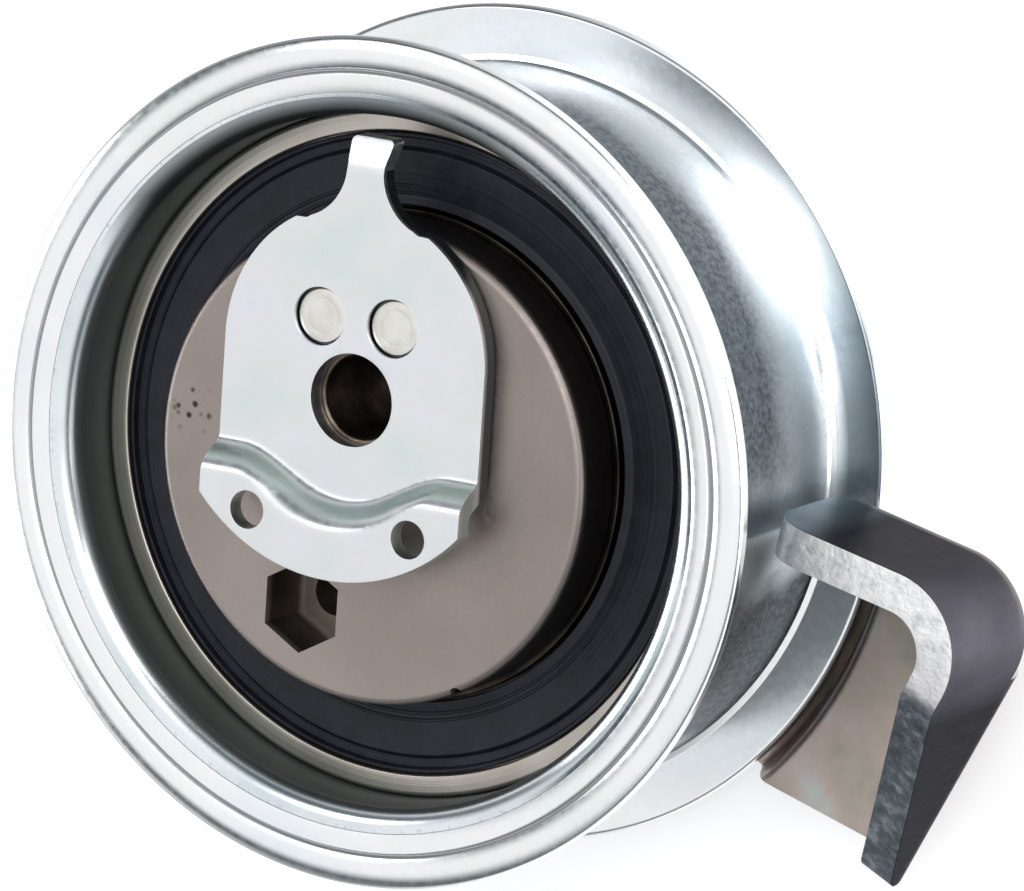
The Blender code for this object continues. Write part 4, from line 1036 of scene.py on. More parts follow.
for name, node, face, inward in (
    ("front_lip_seal", "front_seal", BEARING_FRONT - SEAL_SINK, -1),
    ("rear_lip_seal", "rear_seal", BEARING_BACK + SEAL_SINK, 1),
):
    low = face + inward * SEAL_THICK
    dish = face + inward * SEAL_THICK * 0.35
    crown = face + inward * SEAL_THICK * 0.2
    floor = face + inward * SEAL_THICK * 0.6
    ribs = []
    for i in range(2):
        r = SEAL_LIP + 0.0010 + 0.0007 * i
        ribs += [
            (r, dish, 0.0),
            (r + 0.00010, dish - inward * 0.00010, 0.0),
            (r + 0.00025, dish - inward * 0.00010, 0.0),
            (r + 0.00035, dish, 0.0),
        ]
    seal = new_object(name, turned([
        (SEAL_OUTER, face, 0.0002),
        (SEAL_OUTER, low, 0.0002),
        (SEAL_LIP + 0.0004, low, 0.0001),
        (SEAL_LIP, floor, 0.0001),
        (SEAL_LIP, face + inward * SEAL_THICK * 0.15, 0.0001),
        *ribs,
        (SEAL_OUTER - 0.0018, crown, 0.0002),
        (SEAL_OUTER - 0.0014, floor, 0.0001),
        (SEAL_OUTER - 0.0006, floor, 0.0001),
        (SEAL_OUTER - 0.0004, face, 0.0001),
    ], 192), nitrile)
    flat_faces(seal)
    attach(seal, "pulley")
    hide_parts(node)

# Drum: the tube that the belt's back runs on, drawn from 2.3 mm steel with rolled lips, pressed
# on the bearing and zinc plated. The tread is mottled zinc, with painted dark reflections.
TREAD = 0.0365
DRUM_BORE = 0.0342
DRUM_BACK = 0.0054
DRUM_FRONT = 0.0356
LIP = 0.0021
SHOULDER_BORE = 0.0328
PRESS_STEP = 0.0130

zinc_tread, tree, shader, place = surface("zinc_plated_drawn_steel")
cloud = add(tree, "ShaderNodeTexNoise", {"Vector": place, "Scale": 70.0, "Detail": 4.0})
speckle = add(tree, "ShaderNodeTexNoise", {"Vector": place, "Scale": 1700.0, "Detail": 4.0})
cool = add(tree, "ShaderNodeValToRGB", {"Fac": cloud.outputs["Fac"]}, stops=[
    (0.30, "#ccd8dc"), (0.50, "#e2e8ec"), (0.70, "#eef2f6"),
]).outputs["Color"]
parts = add(tree, "ShaderNodeSeparateXYZ", {"Vector": place})
flat = add(tree, "ShaderNodeCombineXYZ", {
    "X": parts.outputs["X"], "Y": parts.outputs["Y"], "Z": 0.0,
})
reach = add(tree, "ShaderNodeVectorMath", {0: flat.outputs["Vector"]}, operation="LENGTH")
outside = add(tree, "ShaderNodeMath", {
    0: reach.outputs["Value"], 1: TREAD - 0.0004,
}, operation="GREATER_THAN")
# The front half of the tread is painted darker over a third of the way round, a painted dark
# reflection, with dark specks 0.5 to 1 mm across and a ragged edge.
facing = add(tree, "ShaderNodeVectorMath", {
    0: flat.outputs["Vector"], 1: (cos(radians(40)) / TREAD, sin(radians(40)) / TREAD, 0.0),
}, operation="DOT_PRODUCT")
ragged = add(tree, "ShaderNodeMath", {
    0: cloud.outputs["Fac"], 1: 0.5, 2: facing.outputs["Value"],
}, operation="MULTIPLY_ADD")
side = add(tree, "ShaderNodeMapRange", {
    "Value": ragged.outputs["Value"], "From Min": 0.80, "From Max": 1.05,
})
uneven = add(tree, "ShaderNodeMath", {
    0: cloud.outputs["Fac"], 1: 0.008, 2: parts.outputs["Z"],
}, operation="MULTIPLY_ADD")
ahead = add(tree, "ShaderNodeMapRange", {
    "Value": uneven.outputs["Value"], "From Min": 0.0150, "From Max": 0.0225,
})
dulled = add(tree, "ShaderNodeMath", {
    0: side.outputs["Result"], 1: ahead.outputs["Result"],
}, operation="MULTIPLY")
dark = add(tree, "ShaderNodeMapRange", {
    "Value": speckle.outputs["Fac"], "From Min": 0.35, "From Max": 0.65,
    "To Min": 0.86, "To Max": 1.0,
})
# Towards the hook it is painted as dark all across, the same painted reflection.
hook_side = add(tree, "ShaderNodeVectorMath", {
    0: flat.outputs["Vector"], 1: (cos(radians(-32)) / TREAD, sin(radians(-32)) / TREAD, 0.0),
}, operation="DOT_PRODUCT")
blotched = add(tree, "ShaderNodeMath", {
    0: cloud.outputs["Fac"], 1: 0.16, 2: hook_side.outputs["Value"],
}, operation="MULTIPLY_ADD")
low = add(tree, "ShaderNodeMapRange", {
    "Value": blotched.outputs["Value"], "From Min": 1.005, "From Max": 1.050,
})
dulled = add(tree, "ShaderNodeMath", {
    0: dulled.outputs["Value"], 1: low.outputs["Result"],
}, operation="MAXIMUM")
stain = add(tree, "ShaderNodeMath", {
    0: dulled.outputs["Value"], 1: dark.outputs["Result"],
}, operation="MULTIPLY")
faint = add(tree, "ShaderNodeMapRange", {
    "Value": speckle.outputs["Fac"], "From Min": 0.55, "From Max": 0.70,
    "To Min": 0.0, "To Max": 0.22,
})
stain = add(tree, "ShaderNodeMath", {
    0: stain.outputs["Value"], 1: faint.outputs["Result"],
}, operation="MAXIMUM")
stain = add(tree, "ShaderNodeMath", {
    0: stain.outputs["Value"], 1: outside.outputs["Value"],
}, operation="MULTIPLY")
# Painted dark reflection: the patch is mixed to a dark blue-grey, with the specks.
mottled = add(tree, "ShaderNodeMix", {
    "Factor": stain.outputs["Value"], 6: cool, 7: linear("#454e55"),
}, data_type="RGBA")
# Down the bore the zinc is painted from bright at the lip to a dark green-grey, a painted shade.
# At the top it is painted dark right up to the flange ring.
hung = add(tree, "ShaderNodeVectorMath", {
    0: flat.outputs["Vector"], 1: (cos(radians(106)) / TREAD, sin(radians(106)) / TREAD, 0.0),
}, operation="DOT_PRODUCT")
higher = add(tree, "ShaderNodeMapRange", {
    "Value": hung.outputs["Value"], "From Min": 0.62, "From Max": 0.80,
    "To Min": 0.0, "To Max": -0.0016,
})
sunk = add(tree, "ShaderNodeMath", {
    0: parts.outputs["Z"], 1: higher.outputs["Result"],
}, operation="ADD")
deep = add(tree, "ShaderNodeMapRange", {
    "Value": sunk.outputs["Value"], "From Min": DRUM_FRONT - LIP - 0.0006,
    "From Max": DRUM_FRONT - 0.0008, "To Min": 1.0, "To Max": 0.0,
})
in_bore = add(tree, "ShaderNodeMath", {
    0: deep.outputs["Result"], 1: outside.outputs["Value"],
}, operation="SUBTRACT", use_clamp=True)
on_lip = add(tree, "ShaderNodeMapRange", {
    "Value": parts.outputs["Z"], "From Min": DRUM_FRONT - LIP - 0.0011,
    "From Max": DRUM_FRONT - LIP - 0.0003, "To Min": 0.0, "To Max": -600.0,
})
darker = add(tree, "ShaderNodeMath", {
    0: on_lip.outputs["Result"], 1: higher.outputs["Result"],
}, operation="MULTIPLY", use_clamp=True)
bore_tone = add(tree, "ShaderNodeMix", {
    "Factor": darker.outputs["Value"], 6: linear("#6f7674"), 7: linear("#3f4544"),
}, data_type="RGBA")
whole = add(tree, "ShaderNodeMix", {
    "Factor": in_bore.outputs["Value"], 6: mottled.outputs[2], 7: bore_tone.outputs[2],
}, data_type="RGBA")
tree.links.new(whole.outputs[2], shader.inputs["Base Color"])
shader.inputs["Metallic"].default_value = 1.0
gloss = add(tree, "ShaderNodeMapRange", {
    "Value": stain.outputs["Value"], "To Min": 0.20, "To Max": 0.42,
})
matt = add(tree, "ShaderNodeMath", {
    0: in_bore.outputs["Value"], 1: 0.40, 2: gloss.outputs["Result"],
}, operation="MULTIPLY_ADD")
tree.links.new(matt.outputs["Value"], shader.inputs["Roughness"])
bump = add(tree, "ShaderNodeBump", {
    "Height": speckle.outputs["Fac"], "Strength": 0.05, "Distance": 0.0001,
})
tree.links.new(bump.outputs["Normal"], shader.inputs["Normal"])
drum = new_object("belt_drum", turned([
    (TREAD, DRUM_BACK, 0.0003),
    (TREAD, DRUM_FRONT - 0.00024, 0.00005),
    (DRUM_BORE, DRUM_FRONT - 0.00080, LIP),
    (DRUM_BORE, PRESS_STEP, 0.0),
    (SHOULDER_BORE, PRESS_STEP, 0.0003),
    (SHOULDER_BORE, DRUM_BACK + LIP + 0.0014, 0.0006),
    (DRUM_BORE, DRUM_BACK + LIP, 0.0006),
    (DRUM_BORE + 0.0002, DRUM_BACK, 0.0009),
], 224), zinc_tread)
flat_faces(drum)
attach(drum, "pulley")
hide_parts("pulley_drum")

# Flange rings: pressed from 2 mm sheet with a rolled groove and a bead at the rim, and pushed on
# to the drum's ends. Bright blue-passivated zinc, smoother than the tread.
FLANGE_INNER = 0.03652
FLANGE_OUTER = 0.0420
PULLEY_FRONT = 0.0357
PULLEY_BACK = 0.0052
FLANGE_SHEET = 0.0020
BAND_WIDTH = 0.0015
GROOVE_PLACE = 0.0021
GROOVE_WIDTH = 0.0006
GROOVE_DEPTH = 0.0004
BEAD_PLACE = 0.0037
RIM_ROUND = 0.0006
RIM_LEAN = radians(34.0)
BACK_ROUND = 0.0005

bright_zinc, tree, shader, place = surface("blue_passivated_zinc")
cloud = add(tree, "ShaderNodeTexNoise", {"Vector": place, "Scale": 60.0, "Detail": 4.0})
fine = add(tree, "ShaderNodeTexNoise", {"Vector": place, "Scale": 1300.0, "Detail": 4.0})
clean = add(tree, "ShaderNodeValToRGB", {"Fac": cloud.outputs["Fac"]}, stops=[
    (0.30, "#e9eef2"), (0.50, "#f2f3f5"), (0.70, "#ebf1f0"),
]).outputs["Color"]
# The rear ring's belt side is painted darker towards the hook, a painted reflection of the tread.
parts = add(tree, "ShaderNodeSeparateXYZ", {"Vector": place})
flat = add(tree, "ShaderNodeCombineXYZ", {
    "X": parts.outputs["X"], "Y": parts.outputs["Y"], "Z": 0.0,
})
facing = add(tree, "ShaderNodeVectorMath", {
    0: flat.outputs["Vector"], 1: (cos(radians(12)), sin(radians(12)), 0.0),
}, operation="DOT_PRODUCT")
reach = add(tree, "ShaderNodeVectorMath", {0: flat.outputs["Vector"]}, operation="LENGTH")
turned_off = add(tree, "ShaderNodeMath", {
    0: facing.outputs["Value"], 1: reach.outputs["Value"],
}, operation="DIVIDE")
side = add(tree, "ShaderNodeMapRange", {
    "Value": turned_off.outputs["Value"], "From Min": 0.90, "From Max": 0.985,
})
beyond = add(tree, "ShaderNodeMapRange", {
    "Value": reach.outputs["Value"], "From Min": FLANGE_INNER + 0.0007,
    "From Max": FLANGE_INNER + 0.0018,
})
belt_side = add(tree, "ShaderNodeMapRange", {
    "Value": parts.outputs["Z"], "From Min": PULLEY_BACK + 0.0016,
    "From Max": PULLEY_BACK + 0.0019,
})
in_front = add(tree, "ShaderNodeMath", {
    0: parts.outputs["Z"], 1: PULLEY_BACK + 2 * FLANGE_SHEET,
}, operation="LESS_THAN")
dull = side.outputs["Result"]
for part in (beyond.outputs["Result"], belt_side.outputs["Result"], in_front.outputs["Value"]):
    dull = add(tree, "ShaderNodeMath", {0: dull, 1: part}, operation="MULTIPLY").outputs["Value"]
dull = add(tree, "ShaderNodeMath", {0: dull, 1: 0.9}, operation="MULTIPLY").outputs["Value"]
# Painted dark reflection mixed in on the belt side.
belt_zinc = add(tree, "ShaderNodeMix", {
    "Factor": dull, 6: clean, 7: linear("#7b878e"),
}, data_type="RGBA")
# The rim's sheared edge is painted dark on the side away from the hook, a painted shade.
rim = add(tree, "ShaderNodeMapRange", {
    "Value": reach.outputs["Value"], "From Min": FLANGE_OUTER - 0.0005,
    "From Max": FLANGE_OUTER - 0.0001,
})
away = add(tree, "ShaderNodeMapRange", {
    "Value": parts.outputs["X"], "From Min": 0.0, "From Max": 0.0200,
    "To Min": 1.0, "To Max": 0.0,
})
oiled = add(tree, "ShaderNodeMath", {
    0: rim.outputs["Result"], 1: away.outputs["Result"],
}, operation="MULTIPLY")
# The rolled groove is painted darker all the way round, a painted shade in the crease.
from_groove = add(tree, "ShaderNodeMath", {
    0: reach.outputs["Value"], 1: FLANGE_INNER + GROOVE_PLACE,
}, operation="SUBTRACT")
from_groove = add(tree, "ShaderNodeMath", {0: from_groove.outputs["Value"]}, operation="ABSOLUTE")
in_groove = add(tree, "ShaderNodeMapRange", {
    "Value": from_groove.outputs["Value"], "From Min": 0.00008, "From Max": 0.00026,
    "To Min": 0.5, "To Max": 0.0,
})
on_face = add(tree, "ShaderNodeMath", {
    0: parts.outputs["Z"], 1: PULLEY_FRONT - FLANGE_SHEET / 2,
}, operation="GREATER_THAN")
in_groove = add(tree, "ShaderNodeMath", {
    0: in_groove.outputs["Result"], 1: on_face.outputs["Value"],
}, operation="MULTIPLY")
oiled = add(tree, "ShaderNodeMath", {
    0: oiled.outputs["Value"], 1: in_groove.outputs["Value"],
}, operation="MAXIMUM")
shade_zinc = add(tree, "ShaderNodeMix", {
    "Factor": oiled.outputs["Value"], 6: belt_zinc.outputs[2], 7: linear("#6b6f71"),
}, data_type="RGBA")
tree.links.new(
    shade_zinc.outputs[2], shader.inputs["Base Color"],
)
shader.inputs["Metallic"].default_value = 1.0
gloss = add(tree, "ShaderNodeMapRange", {
    "Value": fine.outputs["Fac"], "From Min": 0.35, "From Max": 0.65,
    "To Min": 0.18, "To Max": 0.25,
})
tree.links.new(gloss.outputs["Result"], shader.inputs["Roughness"])
bump = add(tree, "ShaderNodeBump", {
    "Height": fine.outputs["Fac"], "Strength": 0.05, "Distance": 0.0001,
})
tree.links.new(bump.outputs["Normal"], shader.inputs["Normal"])


def flange_section():
    """The ring's (radius, depth) section: the pressed front, the rim and the sheet's back."""
    wide = FLANGE_OUTER - FLANGE_INNER - RIM_ROUND * (1 - sin(RIM_LEAN))
    rows = []
    for i in range(73):
        x = wide * i / 72
        fall = max(0.0, BAND_WIDTH - x) / BAND_WIDTH
        band = 0.00010 + 0.00024 * fall * fall
        bead = 0.00032 * ((x - BEAD_PLACE) / 0.0013) ** 2
        share = max(0.0, min(1.0, (x - 0.0019) / 0.0004))
        off = (x - GROOVE_PLACE) / (GROOVE_WIDTH / 2)
        dip = GROOVE_DEPTH * (1 - off * off) ** 2 if abs(off) < 1.0 else 0.0
        rows.append((FLANGE_INNER + x, band * (1 - share) + bead * share + dip))
    r, depth = rows[-1]
    middle = (r - RIM_ROUND * sin(RIM_LEAN), depth + RIM_ROUND * cos(RIM_LEAN))
    rim = arc(middle, RIM_ROUND, pi / 2 - RIM_LEAN, 0, 6)[1:]
    rows += [(x, 2 * middle[1] - y) for x, y in rim]
    back = (FLANGE_OUTER - BACK_ROUND, FLANGE_SHEET - BACK_ROUND)
    rows += arc(back, BACK_ROUND, 0, pi / 2, 6)
    rows += [(FLANGE_INNER + 0.0006, FLANGE_SHEET), (FLANGE_INNER + 0.0005, FLANGE_SHEET + 0.00003)]
    return rows + [(FLANGE_INNER, FLANGE_SHEET + 0.00025)]


for name, node, edge, inward in (
    ("front_flange_ring", "front_flange", PULLEY_FRONT, -1),
    ("rear_flange_ring", "rear_flange", PULLEY_BACK, 1),
):
    section = [(r, edge + inward * depth, 0.0) for r, depth in flange_section()]
    flange = new_object(name, turned(section, 224), bright_zinc)
    flat_faces(flange)
    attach(flange, "pulley")
    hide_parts(node)

# Pointer plate: 2 mm steel blanked and pressed in one stroke, with a raised lobe for the pin
# wrench that folds down round the bolt's head, and a pointer bent back at its tip. Zinc plated.
POINTER_BACK = 0.03485
POINTER_SHEET = 0.0020
HEAD_RADIUS = 0.0147
HEAD_RISE = 0.0045
BOLT_HOLE = 0.0046
LOBE_STEP = 0.0032
LOBE_RUN = 0.0016
LOBE_RADIUS = 0.0199
LOBE_CENTRE = 0.0025
JOGGLE_DROP = 0.0061
JOGGLE_RADIUS = 0.0101
JOGGLE_FILLET = 0.0032
JOGGLE_INSIDE = 0.0005
JOGGLE_OUTSIDE = 0.0011
SHOULDER_WIDTH = 0.0150
NOTCH_WIDTH = 0.0126
NOTCH_RISE = 0.0172
NOTCH_ROUND = 0.0003
TIP_ROUND = 0.0005
NECK_WIDTH = 0.0041
NECK_START = 0.0229
NECK_FILLET = 0.00575
NECK_FOOT = radians(248.7)
POINTER_REACH = 0.0258
POINTER_WIDTH = 0.0048
POINTER_KINK = 0.0026
KINK_SLOPE = tan(radians(27.0))
KINK_ROUND = 0.0010
PIN_HOLE = 0.0019
PIN_HOLE_OUT = 0.00915
PIN_HOLE_DROP = 0.0119
RIVET_OUT = 0.00413
RIVET_RISE = 0.0077
RIVET_HOLE = 0.0029
SHANK_HOLE = 0.0019
RECESS_DEPTH = 0.0010

pointer_zinc, tree, shader, place = surface("satin_zinc_plate")
cloud = add(tree, "ShaderNodeTexNoise", {"Vector": place, "Scale": 130.0, "Detail": 4.0})
fine = add(tree, "ShaderNodeTexNoise", {"Vector": place, "Scale": 1500.0, "Detail": 4.0})
even = add(tree, "ShaderNodeValToRGB", {"Fac": cloud.outputs["Fac"]}, stops=[
    (0.28, "#d8e2e0"), (0.45, "#e0e3e4"), (0.60, "#e3e5e8"), (0.74, "#dde1ea"),
]).outputs["Color"]
# The joggle's slope, halfway between the two levels, is painted a darker grey-green, a painted
# reflection.
parts = add(tree, "ShaderNodeSeparateXYZ", {"Vector": place})
halfway = add(tree, "ShaderNodeMath", {
    0: parts.outputs["Z"], 1: POINTER_BACK + POINTER_SHEET + LOBE_STEP / 2,
}, operation="SUBTRACT")
halfway = add(tree, "ShaderNodeMath", {0: halfway.outputs["Value"]}, operation="ABSOLUTE")
pooled = add(tree, "ShaderNodeMapRange", {
    "Value": halfway.outputs["Value"], "From Min": 0.0006, "From Max": 0.0015,
    "To Min": 0.9, "To Max": 0.0,
})
toned = add(tree, "ShaderNodeMix", {
    "Factor": pooled.outputs["Result"], 6: even, 7: linear("#b4c3be"),
}, data_type="RGBA")
# The blanked edges are painted dark up to where the neck starts, a painted shade on the sides.
edge = add(tree, "ShaderNodeMapRange", {
    "Value": parts.outputs["Z"], "From Min": POINTER_BACK + 0.0013,
    "From Max": POINTER_BACK + 0.0018, "To Min": 1.0, "To Max": 0.0,
})
below_neck = add(tree, "ShaderNodeMath", {
    0: parts.outputs["Y"], 1: STUD.y + NECK_START,
}, operation="LESS_THAN")
thin = add(tree, "ShaderNodeMath", {
    0: edge.outputs["Result"], 1: below_neck.outputs["Value"],
}, operation="MULTIPLY")
in_plan = add(tree, "ShaderNodeCombineXYZ", {
    "X": parts.outputs["X"], "Y": parts.outputs["Y"],
})
from_bolt = add(tree, "ShaderNodeVectorMath", {
    0: in_plan.outputs["Vector"], 1: (STUD.x, STUD.y, 0.0),
}, operation="DISTANCE")
outside = add(tree, "ShaderNodeMath", {
    0: from_bolt.outputs["Value"], 1: BOLT_HOLE + 0.0008,
}, operation="GREATER_THAN")
thin = add(tree, "ShaderNodeMath", {
    0: thin.outputs["Value"], 1: outside.outputs["Value"],
}, operation="MULTIPLY")
whole = add(tree, "ShaderNodeMix", {
    "Factor": thin.outputs["Value"], 6: toned.outputs[2], 7: linear("#59605f"),
}, data_type="RGBA")
tree.links.new(whole.outputs[2], shader.inputs["Base Color"])
shader.inputs["Metallic"].default_value = 1.0
gloss = add(tree, "ShaderNodeMapRange", {
    "Value": fine.outputs["Fac"], "From Min": 0.35, "From Max": 0.65,
    "To Min": 0.28, "To Max": 0.38,
})
tree.links.new(gloss.outputs["Result"], shader.inputs["Roughness"])
bump = add(tree, "ShaderNodeBump", {
    "Height": fine.outputs["Fac"], "Strength": 0.06, "Distance": 0.0001,
})
tree.links.new(bump.outputs["Normal"], shader.inputs["Normal"])


def pointer_outline():
    """The plate seen along the axis, from the stud: lobe, sides, head, shoulders, pointer."""
    shoulder_x = SHOULDER_WIDTH / 2
    shoulder = atan2(sqrt(HEAD_RADIUS**2 - shoulder_x**2), shoulder_x)
    lobe_end = atan2(-sqrt(LOBE_RADIUS**2 - HEAD_RADIUS**2), HEAD_RADIUS)
    lobe = arc((0.0, LOBE_CENTRE), LOBE_RADIUS, -pi - lobe_end, lobe_end, 60)
    right = arc((0.0, HEAD_RISE), HEAD_RADIUS, 0.0, shoulder, 28)
    side = (NECK_WIDTH / 2 + NECK_FILLET, NECK_START)
    neck = arc(side, NECK_FILLET, NECK_FOOT, pi, 20)
    notch = (NOTCH_WIDTH / 2, NOTCH_RISE)
    corner = right.pop()
    right += fillet(right[-1], corner, notch, NOTCH_ROUND, 4)
    right += fillet(corner, notch, neck[0], NOTCH_ROUND, 4)
    right += neck
    bend = (NECK_WIDTH / 2, POINTER_REACH - POINTER_KINK)
    tip = (POINTER_WIDTH / 2, POINTER_REACH)
    right.append(bend)
    right += fillet(bend, tip, (0.0, POINTER_REACH), TIP_ROUND, 5)
    return lobe + right + [(-x, y) for x, y in reversed(right)]


def pointer_rise(x, y, outside_first):
    """How far the press lifts a point of the plate, on its front or its back face."""
    shift = POINTER_SHEET * tan(atan2(LOBE_STEP, LOBE_RUN) / 2)
    below = -JOGGLE_DROP - y
    beyond = sqrt(x * x + y * y) - JOGGLE_RADIUS
    if below < JOGGLE_FILLET and beyond < JOGGLE_FILLET:
        off = sqrt((JOGGLE_FILLET - below) ** 2 + (JOGGLE_FILLET - beyond) ** 2)
        past = JOGGLE_FILLET - off
    else:
        past = min(below, beyond)
    first, second = JOGGLE_INSIDE, JOGGLE_OUTSIDE
    if outside_first:
        past -= shift
        first, second = second, first
    lift = LOBE_STEP / LOBE_RUN * (eased(past, first) - eased(past - LOBE_RUN, second))
    return lift - KINK_SLOPE * eased(y - POINTER_REACH + POINTER_KINK, KINK_ROUND)


blank = prism(pointer_outline(), 0.0, POINTER_SHEET)
pointer = new_object("pointer_pressing", blank, pointer_zinc)
helpers = [drilled(pointer, BOLT_HOLE, -0.002, 0.004, 96, (0.0, 0.0))]
for side in (-1, 1):
    pin_place = (side * PIN_HOLE_OUT, -PIN_HOLE_DROP)
    helpers.append(drilled(pointer, PIN_HOLE, -0.002, 0.004, 48, pin_place))
    helpers.append(cut_out(pointer, new_object("recess_cut", solid_turned([
        (0.0, -0.002), (SHANK_HOLE, -0.002), (SHANK_HOLE, POINTER_SHEET - RECESS_DEPTH),
        (RIVET_HOLE, POINTER_SHEET - RECESS_DEPTH), (RIVET_HOLE, 0.004), (0.0, 0.004),
    ], 48, (side * RIVET_OUT, RIVET_RISE)), pointer_zinc)))
soft_edges(pointer, 0.00024, 4)
settled(pointer, *helpers)
sheet = bmesh.new()
sheet.from_mesh(pointer.data)
cuts = [((0.0, -0.0180 + 0.0003 * i, 0.0), (0, 1, 0)) for i in range(52)]
cuts += [((0.0, POINTER_REACH - 0.0040 + 0.0003 * i, 0.0), (0, 1, 0)) for i in range(13)]
cuts += [((-0.0146 + 0.0004 * i, 0.0, 0.0), (1, 0, 0)) for i in range(74)]
for at, along in cuts:
    everything = sheet.verts[:] + sheet.edges[:] + sheet.faces[:]
    bmesh.ops.bisect_plane(sheet, geom=everything, dist=1e-7, plane_co=at, plane_no=along)
for point in sheet.verts:
    share = max(0.0, min(1.0, point.co.z / POINTER_SHEET))
    front = pointer_rise(point.co.x, point.co.y, False)
    rear = pointer_rise(point.co.x, point.co.y, True)
    point.co.z += POINTER_BACK + share * front + (1 - share) * rear
    point.co.x += STUD.x
    point.co.y += STUD.y
sheet.to_mesh(pointer.data)
sheet.free()
pointer.data.shade_smooth()
flat_faces(pointer)
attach(pointer, "adjuster")
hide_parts("pointer_plate")

# Rivets: two plated steel rivets through the pointer plate into the adjusting eccentric, set
# flat in round recesses by a hollow punch that leaves a circle on each head. The struck heads
# are a touch warmer and brighter than the plate.
RIVET_RADIUS = 0.0018
RIVET_HEAD = 0.0027
RIVET_LENGTH = 0.0110
RIVET_TOP = 0.0363
PUNCH_MARK = 0.0017

struck_zinc, tree, shader, place = surface("struck_zinc_rivet")
cloud = add(tree, "ShaderNodeTexNoise", {"Vector": place, "Scale": 500.0, "Detail": 4.0})
tree.links.new(
    add(tree, "ShaderNodeValToRGB", {"Fac": cloud.outputs["Fac"]}, stops=[
        (0.35, "#dcd8d1"), (0.65, "#e6e6e1"),
    ]).outputs["Color"],
    shader.inputs["Base Color"],
)
shader.inputs["Metallic"].default_value = 1.0
shader.inputs["Roughness"].default_value = 0.32
bump = add(tree, "ShaderNodeBump", {
    "Height": cloud.outputs["Fac"], "Strength": 0.10, "Distance": 0.0001,
})
tree.links.new(bump.outputs["Normal"], shader.inputs["Normal"])
rivet = new_object("one_rivet", solid_turned([
    (0.0, -RIVET_LENGTH),
    (RIVET_RADIUS, -RIVET_LENGTH),
    (RIVET_RADIUS, -0.0003),
    (RIVET_HEAD, -0.0003),
    (RIVET_HEAD, -0.00012),
    (RIVET_HEAD - 0.00006, -0.00003),
    (RIVET_HEAD - 0.00016, 0.0),
    (PUNCH_MARK + 0.00006, 0.0),
    (PUNCH_MARK + 0.00002, -0.00001),
    (PUNCH_MARK - 0.00002, -0.00001),
    (PUNCH_MARK - 0.00006, 0.0),
    (PUNCH_MARK - 0.00012, 0.0),
    (0.0, 0.0),
], 48, (0.0, 0.0)), struck_zinc)
flat_faces(rivet)
rivets, tree, given, result = new_modifier("plate_rivets", {
    "Count": 2, "Spacing": 2 * RIVET_OUT,
})
step = add(tree, "ShaderNodeCombineXYZ", {"X": given["Spacing"]})
line = add(tree, "GeometryNodeMeshLine", {
    "Count": given["Count"], "Offset": step.outputs["Vector"],
    "Start Location": (STUD.x - RIVET_OUT, STUD.y + RIVET_RISE, RIVET_TOP),
})
head = add(tree, "GeometryNodeObjectInfo", {"Object": rivet})
spread = add(tree, "GeometryNodeInstanceOnPoints", {
    "Points": line.outputs["Mesh"], "Instance": head.outputs["Geometry"],
})
real = add(tree, "GeometryNodeRealizeInstances", {"Geometry": spread.outputs["Instances"]})
coat = add(tree, "GeometryNodeSetMaterial", {
    "Geometry": real.outputs["Geometry"], "Material": struck_zinc,
})
tree.links.new(coat.outputs["Geometry"], result.inputs["Geometry"])
settled(rivets, rivet)
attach(rivets, "adjuster")
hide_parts("rivet_left", "rivet_right")

# Camera: at the photograph's angle, a long lens about a metre off, above and to the right of
# the pulley's axis.
azimuth, elevation, roll = radians(30.33), radians(9.83), radians(0.22)
distance, focal, shift_x, shift_y = 1.045, 10742.0, -0.01451, -0.00197
toward = Vector((
    sin(azimuth) * cos(elevation), sin(elevation), cos(azimuth) * cos(elevation)
))
level = Vector((0, 1, 0)).cross(toward).normalized()
upright = toward.cross(level)
right = cos(roll) * level + sin(roll) * upright
up = -sin(roll) * level + cos(roll) * upright
at = distance * toward - shift_x * right - shift_y * up
spun = Matrix.Rotation(radians(4.0), 3, "Z")
right, up, toward, at = spun @ right, spun @ up, spun @ toward, spun @ at
at.z += PULLEY_FRONT
lens = bpy.data.cameras.new("view")
lens.sensor_width = 36.0
lens.lens = focal / 1024 * 36
lens.clip_end = 50.0
camera = bpy.data.objects.new("view", lens)
camera.matrix_world = Matrix((
    (right.x, up.x, toward.x, at.x),
    (right.y, up.y, toward.y, at.y),
    (right.z, up.z, toward.z, at.z),
    (0, 0, 0, 1),
))
bpy.context.scene.collection.objects.link(camera)
bpy.context.scene.camera = camera

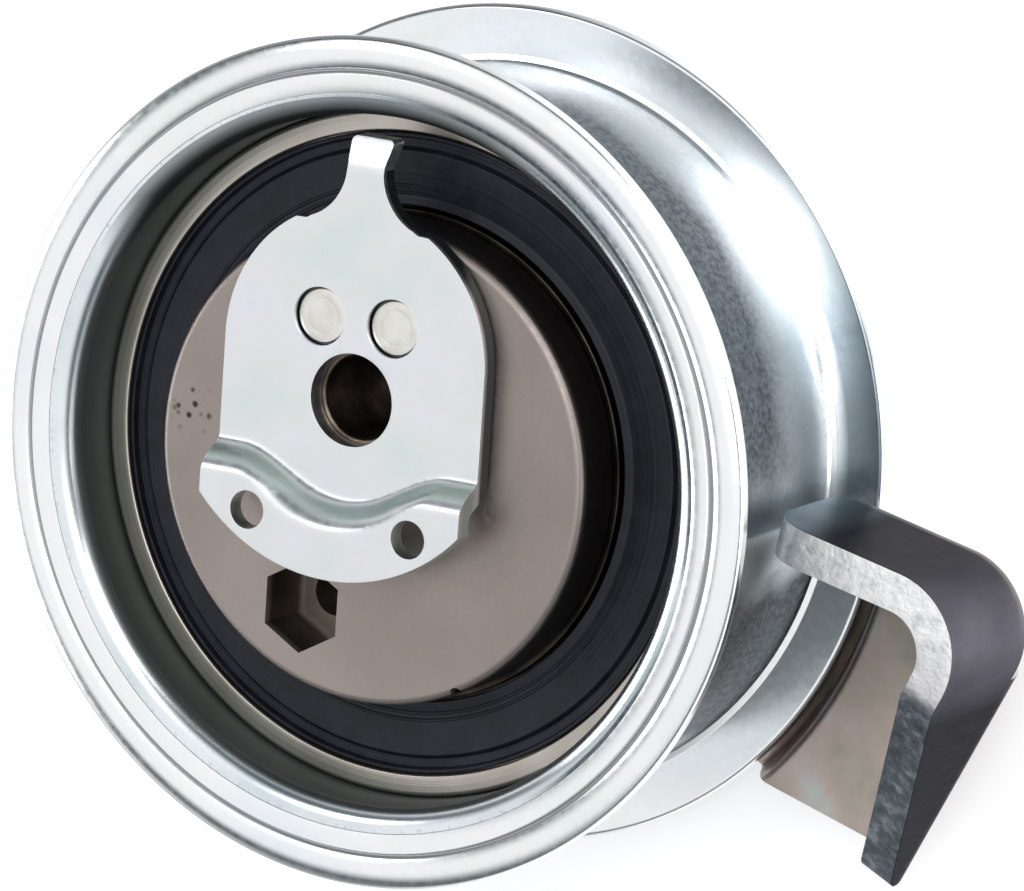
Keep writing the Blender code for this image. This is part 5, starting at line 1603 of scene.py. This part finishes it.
# Stage: a plain white floor under the part, soft lamps to the left, above and behind, and a
# white room whose upper part falls off to grey, which gives the plated steel its dark bands.
floor_mesh = bmesh.new()
bmesh.ops.create_grid(floor_mesh, x_segments=1, y_segments=1, size=4.0)
for point in floor_mesh.verts:
    point.co.z = -0.0004
white_board, tree, shader, place = surface("matt_white_board")
shader.inputs["Base Color"].default_value = linear("#f2f2f2")
shader.inputs["Roughness"].default_value = 0.9
shader.inputs["Specular IOR Level"].default_value = 0.1
seen = add(tree, "ShaderNodeLightPath")
lift = add(tree, "ShaderNodeMath", {
    0: seen.outputs["Is Camera Ray"], 1: seen.outputs["Is Glossy Ray"],
}, operation="ADD", use_clamp=True)
amount = add(tree, "ShaderNodeMath", {0: lift.outputs["Value"], 1: 0.42}, operation="MULTIPLY")
tree.links.new(amount.outputs["Value"], shader.inputs["Emission Strength"])
shader.inputs["Emission Color"].default_value = (1, 1, 1, 1)
floor = new_object("floor_board", floor_mesh, white_board)

world = bpy.data.worlds.new("studio")
bpy.context.scene.world = world
world.use_nodes = True
tree = world.node_tree
back = tree.nodes["Background"]
ray = add(tree, "ShaderNodeLightPath")
look = add(tree, "ShaderNodeTexCoord").outputs["Generated"]
parts = add(tree, "ShaderNodeSeparateXYZ", {"Vector": look})
room = add(tree, "ShaderNodeValToRGB", {"Fac": parts.outputs["Z"]}, stops=[
    (0.08, "#ffffff"), (0.27, "#7b8184"), (0.50, "#484d50"), (0.64, "#b9bec0"), (0.78, "#ffffff"),
]).outputs["Color"]
shown = add(tree, "ShaderNodeMath", {
    0: ray.outputs["Is Camera Ray"], 1: ray.outputs["Is Glossy Ray"],
}, operation="ADD")
shown = add(tree, "ShaderNodeMath", {
    0: shown.outputs["Value"], 1: ray.outputs["Is Transmission Ray"],
}, operation="ADD", use_clamp=True)
blend = add(tree, "ShaderNodeMix", {
    "Factor": shown.outputs["Value"], 6: linear("#b4b6b8"), 7: room,
}, data_type="RGBA")
tree.links.new(blend.outputs[2], back.inputs["Color"])
back.inputs["Strength"].default_value = 1.0

middle = Vector((0.005, 0.0, 0.02))
for name, place, size, power in (
    ("key_lamp", (-1.00, -0.15, 0.22), 0.80, 4.5),
    ("over_lamp", (0.34, 0.33, 0.87), 0.65, 2.5),
    ("crease_lamp", (-0.50, 0.50, 0.71), 0.35, 0.9),
    ("top_lamp", (0.75, 0.70, 0.35), 0.90, 4.0),
    ("side_lamp", (1.02, -0.04, 0.10), 0.60, 3.0),
):
    lamp = bpy.data.lights.new(name, "AREA")
    lamp.shape = "DISK"
    lamp.size = size
    lamp.energy = power
    holder = bpy.data.objects.new(name, lamp)
    holder.location = middle + Vector(place)
    facing = (holder.location - middle).to_track_quat("Z", "Y")
    holder.rotation_euler = facing.to_euler()
    bpy.context.scene.collection.objects.link(holder)

bpy.context.scene.view_settings.view_transform = "Standard"
